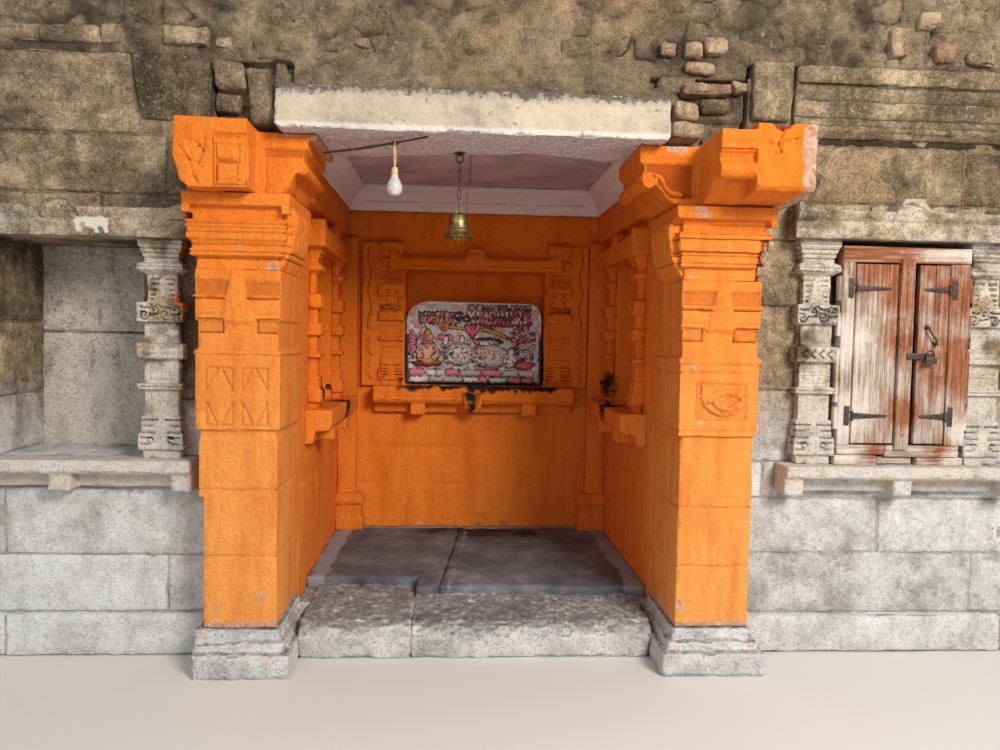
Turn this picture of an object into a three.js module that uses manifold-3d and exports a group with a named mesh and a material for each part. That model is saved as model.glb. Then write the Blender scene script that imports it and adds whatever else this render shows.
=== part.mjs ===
// A painted shrine cell let into a stone temple wall, with a niche in the wall on either side of it.
// Millimetres: +X to the right, +Y into the wall, +Z up. The origin is on the ground, on the
// doorway's centre line, in the plane of the wall's face.
import * as THREE from "three";
import { mergeVertices } from "three/addons/utils/BufferGeometryUtils.js";
import Module from "manifold-3d";

const wasm = await Module();
wasm.setup();

// Driving dimensions of the shrine's front
const openingHalf = 770; // half the clear width between the two pillars
const pillarWidth = 290;
const pillarOuter = openingHalf + pillarWidth;
const pillarFront = -200;
const pillarRear = 190;
const baseTop = 177;
const baseFlare = 58;
const shaftTop = 1532;
const abacusTop = 1808;
const bracketTop = 2040;
const thresholdFront = -78;
const thresholdRearLeft = 407;
const thresholdRearRight = 262;
const thresholdTop = 150;
const thresholdJoint = -265;
const floorJoint = 3;
const lintelFront = -280;
const lintelLeft = -772;
const lintelRight = 677;
const lintelTop = 2200;

// Driving dimensions of the cell behind it
const cellBack = 1380;
const backThickness = 350;
const cellRear = cellBack + backThickness;
const floorTop = 190;
const bandBottom = 1850; // the walls' top course stands a little proud
const sideBand = 712;
const backBand = 1368;
const coveBottom = 2010;
const coveReach = 84;
const ceilingUnder = 2150;
const ceilingTop = 2290;
const roofTop = 2380;
const roofEaves = 50;

// Driving dimensions of the temple wall
const bayEnd = 2450;
const wallThickness = 650;
const wallTop = 2760;
const copingTop = 2840;
const copingReach = 40;
const plinthTop = 157;
const plinthReach = 25;

const seam = 0.3; // the joint left between a cut piece and its neighbour

// Paint, stone, metal and wood
function finish(color, roughness, metalness = 0) {
  return () => new THREE.MeshStandardMaterial({ color, roughness, metalness });
}
const saffronPaint = finish(0xe8821e, 0.75);
const greyStone = finish(0x8f8778, 0.92);
const paleStone = finish(0xa39c90, 0.9);
const whitewash = finish(0xcfc8bd, 0.9);
const lilacWash = finish(0x8f8288, 0.9);
const floorStone = finish(0x5e5558, 0.85);
const paintedRelief = finish(0xb9b4b4, 0.6);
const wornWood = finish(0xa5745a, 0.8);
const darkIron = finish(0x3a3431, 0.6, 0.8);
const bellBrass = finish(0x9a7d45, 0.4, 1);
const twigBark = finish(0x4a3b30, 0.9);
const flexPlastic = finish(0xc9b48c, 0.6);
const lampGlass = finish(0xe6e2dc, 0.2);

const shrine = new THREE.Group();

function addPiece(name, geometry, paint, parent = shrine) {
  const mesh = new THREE.Mesh(geometry, paint());
  mesh.name = name;
  parent.add(mesh);
  return mesh;
}

// Booleans: a closed three.js geometry becomes a manifold solid, and comes back as a geometry.
function toSolid(geometry) {
  const bare = new THREE.BufferGeometry();
  bare.setAttribute("position", geometry.getAttribute("position").clone());
  if (geometry.index) bare.setIndex(geometry.index.clone());
  const merged = mergeVertices(bare, 1e-3);
  return new wasm.Manifold(
    new wasm.Mesh({
      numProp: 3,
      vertProperties: merged.attributes.position.array,
      triVerts: new Uint32Array(merged.index.array),
    }),
  );
}

function toGeometry(solid) {
  const mesh = solid.getMesh();
  const geometry = new THREE.BufferGeometry();
  geometry.setAttribute("position", new THREE.BufferAttribute(mesh.vertProperties, 3));
  geometry.setIndex(new THREE.BufferAttribute(mesh.triVerts, 1));
  return geometry;
}

function join(...geometries) {
  return toGeometry(geometries.map(toSolid).reduce((a, b) => a.add(b)));
}

function cut(geometry, ...tools) {
  return toGeometry(tools.map(toSolid).reduce((a, b) => a.subtract(b), toSolid(geometry)));
}

// The mirror image across the plane through the origin with this normal, faces still pointing out.
function mirrored(geometry, normal = [1, 0, 0]) {
  return toGeometry(toSolid(geometry).mirror(normal));
}

// Shapes
function block(x0, x1, y0, y1, z0, z1) {
  const geometry = new THREE.BoxGeometry(x1 - x0, y1 - y0, z1 - z0);
  return geometry.translate((x0 + x1) / 2, (y0 + y1) / 2, (z0 + z1) / 2);
}

function outline(points) {
  return new THREE.Shape(points.map(([a, b]) => new THREE.Vector2(a, b)));
}

// An outline in X and Z, extruded from y0 to y1.
function alongY(shape, y0, y1, curveSegments = 8) {
  const geometry = new THREE.ExtrudeGeometry(shape, { depth: y1 - y0, bevelEnabled: false, curveSegments });
  return geometry.rotateX(Math.PI / 2).translate(0, y1, 0);
}

// An outline in Y and Z, extruded from x0 to x1.
function alongX(shape, x0, x1, curveSegments = 8) {
  const geometry = new THREE.ExtrudeGeometry(shape, { depth: x1 - x0, bevelEnabled: false, curveSegments });
  return geometry.rotateY(Math.PI / 2).rotateX(Math.PI / 2).translate(x0, 0, 0);
}

// An outline in X and Y, extruded from z0 to z1.
function alongZ(shape, z0, z1) {
  return new THREE.ExtrudeGeometry(shape, { depth: z1 - z0, bevelEnabled: false }).translate(0, 0, z0);
}

// A block whose four sides all carry one moulding, given as rows of height and outset.
function mouldedBlock(x0, x1, y0, y1, rows) {
  const halfX = (x1 - x0) / 2;
  const halfY = (y1 - y0) / 2;
  const corner = Math.SQRT2;
  const profile = [
    new THREE.Vector2(0, rows[0][0]),
    ...rows.map(([z, outset]) => new THREE.Vector2((halfY + outset) * corner, z)),
    new THREE.Vector2(0, rows[rows.length - 1][0]),
  ];
  const geometry = new THREE.LatheGeometry(profile, 4, Math.PI / 4).rotateX(Math.PI / 2);
  const position = geometry.getAttribute("position");
  for (let i = 0; i < position.count; i++) {
    const reach = Math.abs(position.getX(i));
    if (reach > 1) {
      const side = Math.sign(position.getX(i));
      position.setX(i, side * (reach + halfX - halfY));
    }
  }
  return geometry.translate((x0 + x1) / 2, (y0 + y1) / 2, 0);
}

// A round piece about a vertical axis, from rows of radius and height.
function turned(rows, segments = 24) {
  const profile = rows.map(([r, z]) => new THREE.Vector2(r, z));
  return new THREE.LatheGeometry(profile, segments).rotateX(Math.PI / 2);
}

// Pillars: base, shaft and capital, with the sides that meet walls cut square.
const far = 3000; // beyond every face of the shrine, for cutting tools
const baseRows = [
  [0, baseFlare - 6], [8, baseFlare], [92, baseFlare], [100, 34], [128, 34], [142, 14], [baseTop, 12],
];
const shaftRows = [
  [baseTop, 0], [905, 0], [908, -4], [928, -4], [931, 10], [1209, 10], [1212, 15], [1231, 15],
  [1235, 2], [1340, 2], [1343, 10], [shaftTop, 12],
];
const abacusOutset = 50;
const abacusBottom = 1762;
const capitalRows = [
  [shaftTop, 8], [1550, 6], [1578, 6], [1582, 26], [1604, 26], [1608, 20], [1632, 24], [1642, 35],
  [1664, 37], [1680, 32], [1685, 39], [1710, 39], [1713, 17], [1757, 20], [abacusBottom, abacusOutset - 2],
  [abacusTop, abacusOutset],
];
const shaftPlace = [openingHalf, pillarOuter, pillarFront, pillarRear];

// Takes off what would run into the side wall behind a pillar or the temple wall beside it.
function squareOff(geometry) {
  return cut(
    geometry,
    block(0, far, pillarRear - seam, far, -10, far),
    block(pillarOuter - seam, far, -plinthReach - seam, far, -10, far),
  );
}

// A curved leaf that hangs under the abacus on the doorway's side.
function hangingLeaf() {
  const leafReach = 72;
  const leafBottom = 1536;
  const shape = new THREE.Shape();
  shape.moveTo(openingHalf + 5, leafBottom);
  shape.lineTo(openingHalf + 5, abacusBottom + 5);
  shape.lineTo(openingHalf - 50, abacusBottom + 5);
  shape.quadraticCurveTo(openingHalf - leafReach - 8, 1740, openingHalf - leafReach + 4, 1690);
  shape.lineTo(openingHalf - leafReach + 19, 1608);
  shape.quadraticCurveTo(openingHalf - 30, 1560, openingHalf - 10, leafBottom);
  shape.closePath();
  return alongY(shape, pillarFront + 5, 90);
}

// A small drop under a front corner of the abacus.
function abacusDrop(x0, x1) {
  const front = pillarFront - abacusOutset + 1;
  return block(x0, x1, front, front + 34, abacusBottom - 28, abacusBottom + 5);
}
const dropWidth = 30;
const innerDrop = abacusDrop(openingHalf - abacusOutset + 1, openingHalf - abacusOutset + dropWidth);
const outerDrop = abacusDrop(pillarOuter + abacusOutset - dropWidth, pillarOuter + abacusOutset - 1);

function pair(name, geometry, paint) {
  addPiece("right_" + name, geometry, paint);
  addPiece("left_" + name, mirrored(geometry), paint);
}

// The left pillar's base and lower courses stand closer in on their outer side.
const leftBaseEdge = 1073;
const leftShaftEdge = 1042;
const leftShaftStep = 680;
const base = squareOff(mouldedBlock(...shaftPlace, baseRows));
addPiece("right_pillar_base", base, paleStone);
addPiece("left_pillar_base", mirrored(cut(base, block(leftBaseEdge, far, -far, far, -10, far))), paleStone);
const shaft = squareOff(mouldedBlock(...shaftPlace, shaftRows));
addPiece("right_pillar_shaft", shaft, saffronPaint);
addPiece(
  "left_pillar_shaft",
  mirrored(cut(shaft, block(leftShaftEdge, far, -far, far, -10, leftShaftStep))), saffronPaint,
);
const capital = squareOff(join(mouldedBlock(...shaftPlace, capitalRows), hangingLeaf()));
const capitalEnds = [innerDrop, outerDrop];
addPiece("right_pillar_capital", join(capital, outerDrop), saffronPaint);
addPiece("left_pillar_capital", mirrored(join(capital, ...capitalEnds)), saffronPaint);

// Brackets: a block over the capital with an arm towards the doorway and one to the front.
// The outline of an arm from the shaft outwards: foot, hollow, scroll, fillet and top band.
function armOutline(reach, scrollRadius, top) {
  const scrollHeight = 1908;
  const shape = new THREE.Shape();
  shape.moveTo(-20, abacusTop + 4);
  shape.lineTo(scrollRadius * 0.6, abacusTop + 4);
  shape.quadraticCurveTo(reach * 0.38, 1822, reach - scrollRadius * 3, 1866);
  shape.quadraticCurveTo(reach - scrollRadius * 2.5, 1885, reach - scrollRadius * 2, 1892);
  shape.absarc(reach - scrollRadius - 1, scrollHeight, scrollRadius, Math.PI * 1.15, Math.PI * 2.35, false);
  shape.lineTo(reach - 20, 1948);
  shape.lineTo(reach - 20, 1962);
  shape.lineTo(reach, 1978);
  shape.lineTo(reach, top);
  shape.lineTo(-20, top);
  return shape;
}

const plateTop = 1842; // a thin plate lies between the abacus and the bracket
function bracketCore(top) {
  return join(
    block(openingHalf, pillarOuter, pillarFront, pillarRear, plateTop - 5, top),
    block(openingHalf - 13, pillarOuter + 40, pillarFront - 15, pillarRear, abacusTop, plateTop),
  );
}

// Right: a scrolled arm each way, and an uncarved block beside the front arm.
const rightArm = 187;
const rightForward = 245;
const rightFront = pillarFront - rightForward;
const rightRough = outline([
  [rightFront, 1850], [rightFront + 16, 1836], [pillarFront, 1815], [-60, 1815],
  [-60, bracketTop + 10], [rightFront + 40, bracketTop + 36], [rightFront, bracketTop + 30],
]);
const rightInner = mirrored(alongY(armOutline(rightArm, 31, bracketTop), pillarFront, pillarRear));
const rightCarved = mirrored(alongX(armOutline(rightForward, 31, bracketTop + 6), 815, 950), [0, 1, 0]);
addPiece("right_bracket", squareOff(join(
  bracketCore(bracketTop),
  rightInner.translate(openingHalf, 0, 0),
  rightCarved.translate(0, pillarFront, 0),
  alongX(rightRough, 944, 1158),
)), saffronPaint);

// Left: a short scrolled arm inwards, a panelled front arm with an uncarved block beside it,
// and a packing plate between the arm and the lintel. Made on the right and mirrored.
const leftArm = 107;
const leftFront = pillarFront - 140;
const leftArmTop = bracketTop - 18;
const leftInner = mirrored(alongY(armOutline(leftArm, 20, leftArmTop), pillarFront, pillarRear));
const leftCarved = alongX(outline([
  [leftFront, 1818], [leftFront + 10, 1812], [pillarFront + 20, 1812], [pillarFront + 20, bracketTop + 6],
  [leftFront, bracketTop + 10], [leftFront, 1990], [leftFront + 14, 1984], [leftFront + 14, 1830],
]), 850, 972);
const leftRough = alongY(outline([
  [960, abacusTop], [1052, abacusTop], [1082, 1832], [1108, 1925], [1104, 2046], [1096, bracketTop + 14],
  [960, bracketTop + 10],
]), leftFront, -60);
const plateReach = 142;
const packingPlate = block(
  openingHalf - plateReach, openingHalf + 10, pillarFront + 6, pillarRear, leftArmTop - 4, bracketTop,
);
addPiece("left_bracket", mirrored(squareOff(join(
  bracketCore(bracketTop), leftInner.translate(openingHalf, 0, 0), leftCarved, leftRough, packingPlate,
))), saffronPaint);

// Threshold: two worn slabs laid end to end between the pillars.
function thresholdSlab(x0, x1, rear) {
  const shape = outline([
    [thresholdFront + 14, 0], [rear, 0], [rear, thresholdTop + 12],
    [thresholdFront + 60, thresholdTop - 6], [thresholdFront + 22, thresholdTop - 24], [thresholdFront, 92],
  ]);
  return alongX(shape, x0, x1);
}
function thresholdTail(rear) {
  return block(thresholdEnd - 5, openingHalf, pillarRear + 1, rear, 0, thresholdTop);
}
const thresholdEnd = openingHalf - baseFlare;
addPiece("threshold_left_stone", join(
  thresholdSlab(-thresholdEnd, thresholdJoint - floorJoint, thresholdRearLeft),
  mirrored(thresholdTail(thresholdRearLeft)),
), paleStone);
addPiece("threshold_right_stone", join(
  thresholdSlab(thresholdJoint, thresholdEnd, thresholdRearRight), thresholdTail(thresholdRearRight),
), paleStone);

// The lintel slab over the opening, with its edges worn round.
const lintelOutline = outline([
  [lintelLeft, bracketTop + 14], [lintelLeft + 16, bracketTop], [lintelRight - 10, bracketTop],
  [lintelRight, bracketTop + 10], [lintelRight, lintelTop - 12], [lintelRight - 14, lintelTop],
  [lintelLeft + 30, lintelTop], [lintelLeft + 6, lintelTop - 22],
]);
// Its rear edge is worn back in the middle, where the bell hangs.
const lintelRear = new THREE.SplineCurve([
  [-600, 180], [-350, 117], [-100, 62], [120, 27], [350, 55], [600, 140],
].map(([x, y]) => new THREE.Vector2(x, y)));
const lintelPlan = outline([
  [lintelLeft - 10, lintelFront - 10], [lintelRight + 10, lintelFront - 10], [lintelRight + 10, pillarRear],
  [620, pillarRear], ...lintelRear.getPoints(16).reverse().map(({ x, y }) => [x, y]),
  [-640, pillarRear], [lintelLeft - 10, pillarRear],
]);
const lintelSlab = toSolid(alongY(lintelOutline, lintelFront, pillarRear + 10));
addPiece(
  "front_lintel",
  toGeometry(lintelSlab.intersect(toSolid(alongZ(lintelPlan, bracketTop - 10, lintelTop + 10)))), whitewash,
);

// Cell walls: a wall face, a top course standing proud, and a niche cut into the stone.
const sideNiche = { from: 520, to: 1050, bottom: 960, top: 1690, depth: 130 };
const backNiche = { from: -398, to: 416, bottom: 1012, top: 1678, depth: 200 };

function sideWall() {
  const shape = outline([
    [openingHalf, 0], [pillarOuter, 0], [pillarOuter, coveBottom], [sideBand, coveBottom],
    [sideBand, bandBottom + 10], [sideBand + 8, bandBottom], [openingHalf, bandBottom],
  ]);
  const niche = block(
    openingHalf - 10, openingHalf + sideNiche.depth,
    sideNiche.from, sideNiche.to, sideNiche.bottom, sideNiche.top,
  );
  return cut(alongY(shape, pillarRear, backBand - seam), niche);
}
pair("side_wall", sideWall(), saffronPaint);

const backOutline = outline([
  [cellBack, 0], [cellRear, 0], [cellRear, coveBottom], [backBand, coveBottom],
  [backBand, bandBottom + 6], [cellBack, bandBottom],
]);
const backRecess = block(
  backNiche.from, backNiche.to, backBand - 20, cellBack + backNiche.depth, backNiche.bottom, backNiche.top,
);
const backCorner = block(openingHalf, far, backBand - 20, cellBack + seam, -10, coveBottom + 10);
addPiece(
  "back_wall",
  cut(alongX(backOutline, -pillarOuter, pillarOuter), backRecess, backCorner, mirrored(backCorner)),
  saffronPaint,
);

// Floor slabs: one long slab on the left, two on the right, behind the threshold.
const floorSplitFront = -150;
const floorSplitRear = -60;
const floorCross = 947;
function splitAt(y) {
  const share = (y - thresholdRearLeft) / (cellBack - thresholdRearLeft);
  return floorSplitFront + share * (floorSplitRear - floorSplitFront);
}
function floorSlab(points) {
  return alongZ(outline(points), 0, floorTop);
}
addPiece("floor_slab_left", floorSlab([
  [-openingHalf, thresholdRearLeft], [thresholdJoint, thresholdRearLeft],
  [thresholdJoint, thresholdRearRight], [splitAt(thresholdRearRight), thresholdRearRight],
  [splitAt(cellBack), cellBack], [-openingHalf, cellBack],
]), floorStone);
addPiece("floor_slab_front", floorSlab([
  [splitAt(thresholdRearRight) + floorJoint, thresholdRearRight], [openingHalf, thresholdRearRight],
  [openingHalf, floorCross], [splitAt(floorCross) + floorJoint, floorCross],
]), floorStone);
addPiece("floor_slab_rear", floorSlab([
  [splitAt(floorCross) + floorJoint, floorCross + floorJoint], [openingHalf, floorCross + floorJoint],
  [openingHalf, cellBack], [splitAt(cellBack) + floorJoint, cellBack],
]), floorStone);

// Niche surrounds, made on a wall face at Y = 0 and standing out towards -Y.
// The pilaster's stack of blocks and neck mouldings, as rows of height share and outset.
const pilasterRows = [
  [0, 6], [0.037, 6], [0.042, 20], [0.117, 20], [0.125, 12], [0.195, 10], [0.2, 0], [0.316, 0], [0.318, 20],
  [0.342, 20], [0.345, 0], [0.456, 0], [0.459, 22], [0.526, 22], [0.53, 0], [0.624, 0], [0.627, 22],
  [0.712, 22], [0.716, -8], [0.84, -8], [0.862, 24], [0.886, 20], [0.9, 0], [0.964, 16], [0.97, 20], [1, 20],
];
function pilaster(x0, x1, reach, bottom, top) {
  const rows = pilasterRows.map(([share, outset]) => [bottom + share * (top - bottom), outset]);
  const inset = 24; // the widest moulding stays within the pilaster's own width
  const whole = mouldedBlock(x0 + inset, x1 - inset, -reach + inset, reach - inset, rows);
  return cut(whole, block(x0 - 50, x1 + 50, 0, reach + 50, bottom - 50, top + 50));
}

// A lintel with turned-up ends and a raised boss over its middle.
function nicheLintel(x0, x1, reach, bottom, height, rise) {
  const middle = (x0 + x1) / 2;
  const top = bottom + height;
  return alongY(outline([
    [x0, bottom], [x1, bottom], [x1 - 6, top + rise * 0.6], [x1 - 34, top + rise * 0.6], [x1 - 84, top],
    [middle + 70, top], [middle + 38, top + rise], [middle - 38, top + rise], [middle - 70, top],
    [x0 + 84, top], [x0 + 34, top + rise * 0.6], [x0 + 6, top + rise * 0.6],
  ]), -reach, 0);
}

// A sill slab with a recess under it, carried on blocks at these shares of its length.
function nicheSill(x0, x1, reach, top, height, shares) {
  const lower = top - height;
  const recess = 60;
  const slab = alongX(outline([
    [0, lower - recess], [0, top], [-reach, top], [-reach, top - height * 0.8], [-reach + 14, lower],
    [-reach * 0.4, lower - 6], [-reach * 0.3, lower - recess],
  ]), x0, x1);
  const halfBlock = 40;
  const blocks = shares.map((share) => {
    const middle = x0 + halfBlock + share * (x1 - x0 - 2 * halfBlock);
    return block(middle - halfBlock, middle + halfBlock, -reach + 20, -10, lower - recess - 6, lower + 5);
  });
  return join(slab, ...blocks);
}

// Side niches of the cell: the surround is made facing -Y and turned to face across the cell.
const sideMiddle = (sideNiche.from + sideNiche.to) / 2;
const sideHalf = (sideNiche.to - sideNiche.from) / 2;
const sidePilaster = 130;
const sideReach = 62;
for (const [side, turn] of [["left", Math.PI / 2], ["right", -Math.PI / 2]]) {
  const face = new THREE.Group();
  face.position.set(side === "left" ? -openingHalf : openingHalf, sideMiddle, 0);
  face.rotation.z = turn;
  shrine.add(face);
  const outer = sideHalf + sidePilaster;
  addPiece(
    side + "_side_niche_sill",
    nicheSill(-outer - 60, outer + 60, 120, sideNiche.bottom, 90, [0.25, 0.75]), saffronPaint, face,
  );
  addPiece(side + "_side_niche_surround", join(
    nicheLintel(-outer - 40, outer + 40, 80, sideNiche.top - 1, 90, 50),
    pilaster(-outer, -sideHalf, sideReach, sideNiche.bottom, sideNiche.top),
    pilaster(sideHalf, outer, sideReach, sideNiche.bottom, sideNiche.top),
  ), saffronPaint, face);
}

// The back wall's niche: sill with a spout, pilasters with a carved band beside them, lintel.
const backFace = new THREE.Group();
backFace.position.y = cellBack;
shrine.add(backFace);
const backPilaster = 150;
const backSillTop = backNiche.bottom;
const spoutHalf = 62;
const spout = alongY(outline([
  [-spoutHalf, backSillTop - 30], [spoutHalf, backSillTop - 30], [spoutHalf * 0.7, backSillTop - 120],
  [0, backSillTop - 148], [-spoutHalf * 0.7, backSillTop - 120],
]), -150, -20);
const backSill = nicheSill(-565, 574, 130, backSillTop, 92, [0.2, 0.8]);
addPiece("back_niche_sill", join(backSill, spout), saffronPaint, backFace);
const backBandWidth = 95;
const backBandReach = 34;
const pilasterTop = 1830;
addPiece("back_niche_surround", join(
  nicheLintel(backNiche.from - 90, backNiche.to + 90, 70, backNiche.top, 68, 54),
  pilaster(backNiche.from - backPilaster, backNiche.from, 60, backSillTop, pilasterTop),
  pilaster(backNiche.to, backNiche.to + backPilaster, 60, backSillTop, pilasterTop),
  block(
    backNiche.from - backPilaster - backBandWidth, backNiche.from - backPilaster + 30,
    -backBandReach, 0, backSillTop, pilasterTop,
  ),
  block(
    backNiche.to + backPilaster - 30, backNiche.to + backPilaster + backBandWidth,
    -backBandReach, 0, backSillTop, pilasterTop,
  ),
), saffronPaint, backFace);

// Corner pilasters between the side walls and the back wall.
const cornerPilaster = join(
  block(665, openingHalf, cellBack - 72, cellBack, 380, bandBottom),
  mouldedBlock(640, openingHalf + 130, cellBack - 100, cellBack + 100, [
    [floorTop, 22], [250, 22], [262, 12], [330, 12], [342, 24], [372, 24], [400, 2],
  ]),
);
pair("corner_pilaster", cut(
  cornerPilaster,
  block(openingHalf - seam, 1200, 1000, 1800, 0, 2000),
  block(500, 1200, cellBack - seam, 1800, 0, 2000),
), saffronPaint);

// The painted relief slab that stands in the back niche.
const reliefShape = new THREE.Shape();
reliefShape.moveTo(-392, backNiche.bottom);
reliefShape.lineTo(402, backNiche.bottom);
reliefShape.lineTo(402, 1400);
reliefShape.quadraticCurveTo(398, 1496, 330, 1500);
reliefShape.lineTo(-270, 1504);
reliefShape.quadraticCurveTo(-380, 1490, -392, 1400);
reliefShape.closePath();
addPiece("relief_slab", alongY(reliefShape, cellBack + 60, cellBack + backNiche.depth, 5), paintedRelief);

// Coved cornice, ceiling and roof.
function coveOutline(wallFace, outerFace) {
  const shape = new THREE.Shape();
  const toRoom = Math.sign(wallFace - outerFace);
  shape.moveTo(outerFace, coveBottom);
  shape.lineTo(wallFace, coveBottom);
  shape.lineTo(wallFace + toRoom * 6, coveBottom + 30);
  shape.quadraticCurveTo(wallFace + toRoom * 20, 2090, wallFace + toRoom * (coveReach - 14), 2116);
  shape.lineTo(wallFace + toRoom * coveReach, 2122);
  shape.lineTo(wallFace + toRoom * coveReach, ceilingUnder);
  shape.lineTo(outerFace, ceilingUnder);
  shape.closePath();
  return shape;
}
const rearCove = alongX(coveOutline(backBand, cellRear), -pillarOuter, pillarOuter, 5);
addPiece("rear_cove", rearCove, lilacWash);
const sideCove = alongY(coveOutline(sideBand, pillarOuter), pillarRear, cellBack, 5);
const behindCove = block(0, far, backBand - seam, far, 0, far);
pair("cove", cut(sideCove, rearCove.clone().translate(0, -seam, 0), behindCove), lilacWash);
addPiece(
  "ceiling_slab",
  block(-pillarOuter, pillarOuter, pillarRear, cellRear, ceilingUnder, ceilingTop), lilacWash,
);
const roofHalf = pillarOuter + roofEaves;
addPiece(
  "cell_roof",
  block(-roofHalf, roofHalf, wallThickness, cellRear + roofEaves, ceilingTop, roofTop), greyStone,
);

// Temple wall: the two bays, their niches, the masonry above them and the coping.
const leftNiche = { from: -1890, to: -1340, bottom: 800, top: 1655, depth: 350 };
const rightNiche = { from: 1457, to: 2001, bottom: 802, top: 1720, depth: 350 };
const wallNichePilaster = 178;
const stripDepth = 55;

const cornice = { from: 1260, bottom: 2140, top: 2420, depth: 170 };
const bayOutline = outline([
  [-plinthReach, 0], [wallThickness, 0], [wallThickness, wallTop], [0, wallTop],
  [0, plinthTop + 12], [-plinthReach, plinthTop],
]);
function nicheCut(niche) {
  return block(niche.from, niche.to, -20, niche.depth, niche.bottom, niche.top);
}
addPiece("left_bay_wall", cut(alongX(bayOutline, -bayEnd, -pillarOuter), nicheCut(leftNiche)), greyStone);
const stripFrom = 1175;
const stripTo = rightNiche.from - wallNichePilaster;
const strip = block(stripFrom, stripTo, -20, stripDepth, rightNiche.bottom, rightNiche.top);
const corniceBed = block(cornice.from, bayEnd + 10, -20, cornice.depth, cornice.bottom, cornice.top);
addPiece(
  "right_bay_wall",
  cut(alongX(bayOutline, pillarOuter, bayEnd), nicheCut(rightNiche), strip, corniceBed), greyStone,
);

for (const [side, niche, rise] of [["left", leftNiche, 30], ["right", rightNiche, 56]]) {
  const outer = wallNichePilaster + 45;
  addPiece(
    side + "_niche_sill",
    nicheSill(niche.from - outer, niche.to + outer, 125, niche.bottom, 54, [0, 0.5, 1]), greyStone,
  );
  addPiece(
    side + "_niche_lintel",
    nicheLintel(niche.from - outer + 12, niche.to + outer - 12, 105, niche.top, 110, rise), greyStone,
  );
  for (const [place, low] of [["left", niche.from - wallNichePilaster], ["right", niche.to]]) {
    addPiece(
      side + "_niche_" + place + "_pilaster",
      pilaster(low, low + wallNichePilaster, 70, niche.bottom, niche.top), greyStone,
    );
  }
}

// A moulded course: a fascia over three bands that each lean outwards to a fillet.
const corniceRear = cornice.depth - seam;
const corniceTop = cornice.top - seam;
addPiece("wall_cornice", alongX(outline([
  [-10, cornice.bottom + seam], [corniceRear, cornice.bottom + seam], [corniceRear, corniceTop],
  [-38, corniceTop], [-38, 2352], [-30, 2350], [-22, 2292], [-30, 2290], [-20, 2222], [-28, 2220],
  [-24, 2190], [-32, 2188], [-32, 2156], [-10, 2150],
]), cornice.from + seam, bayEnd), greyStone);
const middleOutline = outline([
  [-pillarOuter, bracketTop], [lintelLeft - 1, bracketTop], [lintelLeft - 1, lintelTop],
  [lintelRight + 1, lintelTop], [lintelRight + 1, bracketTop], [pillarOuter, bracketTop],
  [pillarOuter, wallTop], [-pillarOuter, wallTop],
]);
addPiece("middle_upper_wall", join(
  alongY(middleOutline, 0, pillarRear),
  block(-pillarOuter, pillarOuter, pillarRear - 5, wallThickness, ceilingTop, wallTop),
), greyStone);
const copingHalf = bayEnd + copingReach;
addPiece("wall_coping", block(
  -copingHalf, copingHalf, -copingReach, wallThickness + copingReach, wallTop, copingTop,
), greyStone);

// The right niche's door: a frame with a middle post, and two leaves on strap hinges.
const doorFront = -74;
const frameBack = -20;
const doorBottom = 893;
const doorTop = 1625;
const leftLeaf = { from: 1517, to: 1693 };
const rightLeaf = { from: 1782, to: 1909 };
const postFrom = 1698;
const postTo = 1757;
const postFace = doorFront - 10;
const frame = { from: rightNiche.from + 2, to: rightNiche.to - 2, bottom: rightNiche.bottom, top: 1696 };
const leafThickness = 26;
const leafPlay = 6;
const knuckleRadius = 6;
const knuckleBore = 2.8;
const pinRadius = 2.3;
const hingeLine = doorFront - 5;
const strapHeights = [1006, 1526];
const strapHalf = 40;
const knuckleHalf = 14;

// The fixed half of a hinge: a plate on the frame, two ears and the pin between them.
function pintle(hinge, toFrame, z) {
  const strip = (near, far, y0, y1, z0, z1) => {
    const ends = [hinge + toFrame * near, hinge + toFrame * far].sort((a, b) => a - b);
    return block(ends[0], ends[1], y0, y1, z0, z1);
  };
  const ear = knuckleHalf + 0.8;
  return join(
    strip(12, 34, doorFront - 3, doorFront + 1, z - strapHalf, z + strapHalf),
    strip(0, 14, hingeLine - pinRadius, hingeLine + pinRadius, z + ear, z + ear + 5),
    strip(0, 14, hingeLine - pinRadius, hingeLine + pinRadius, z - ear - 5, z - ear),
    turned([[0, z - ear - 5], [pinRadius, z - ear - 5], [pinRadius, z + ear + 5], [0, z + ear + 5]], 10)
      .translate(hinge, hingeLine, 0),
  );
}

function doorFrame() {
  const opening = block(
    leftLeaf.from - leafPlay, rightLeaf.to + leafPlay, doorFront - 10, frameBack + 10,
    doorBottom - leafPlay, doorTop + leafPlay,
  );
  const boards = block(frame.from, frame.to, doorFront, frameBack, frame.bottom, frame.top);
  const post = block(postFrom, postTo, postFace, doorFront, doorBottom - 26, doorTop + 26);
  const postBack = block(postFrom + 3, postTo - 3, doorFront - 1, frameBack, doorBottom - 20, doorTop + 20);
  const hinges = [[leftLeaf.from, -1], [rightLeaf.to, 1]];
  const pintles = strapHeights.flatMap((z) => hinges.map(([x, toFrame]) => pintle(x, toFrame, z)));
  return join(cut(boards, opening), post, postBack, ...pintles);
}
addPiece("niche_door_frame", doorFrame(), wornWood);

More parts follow.
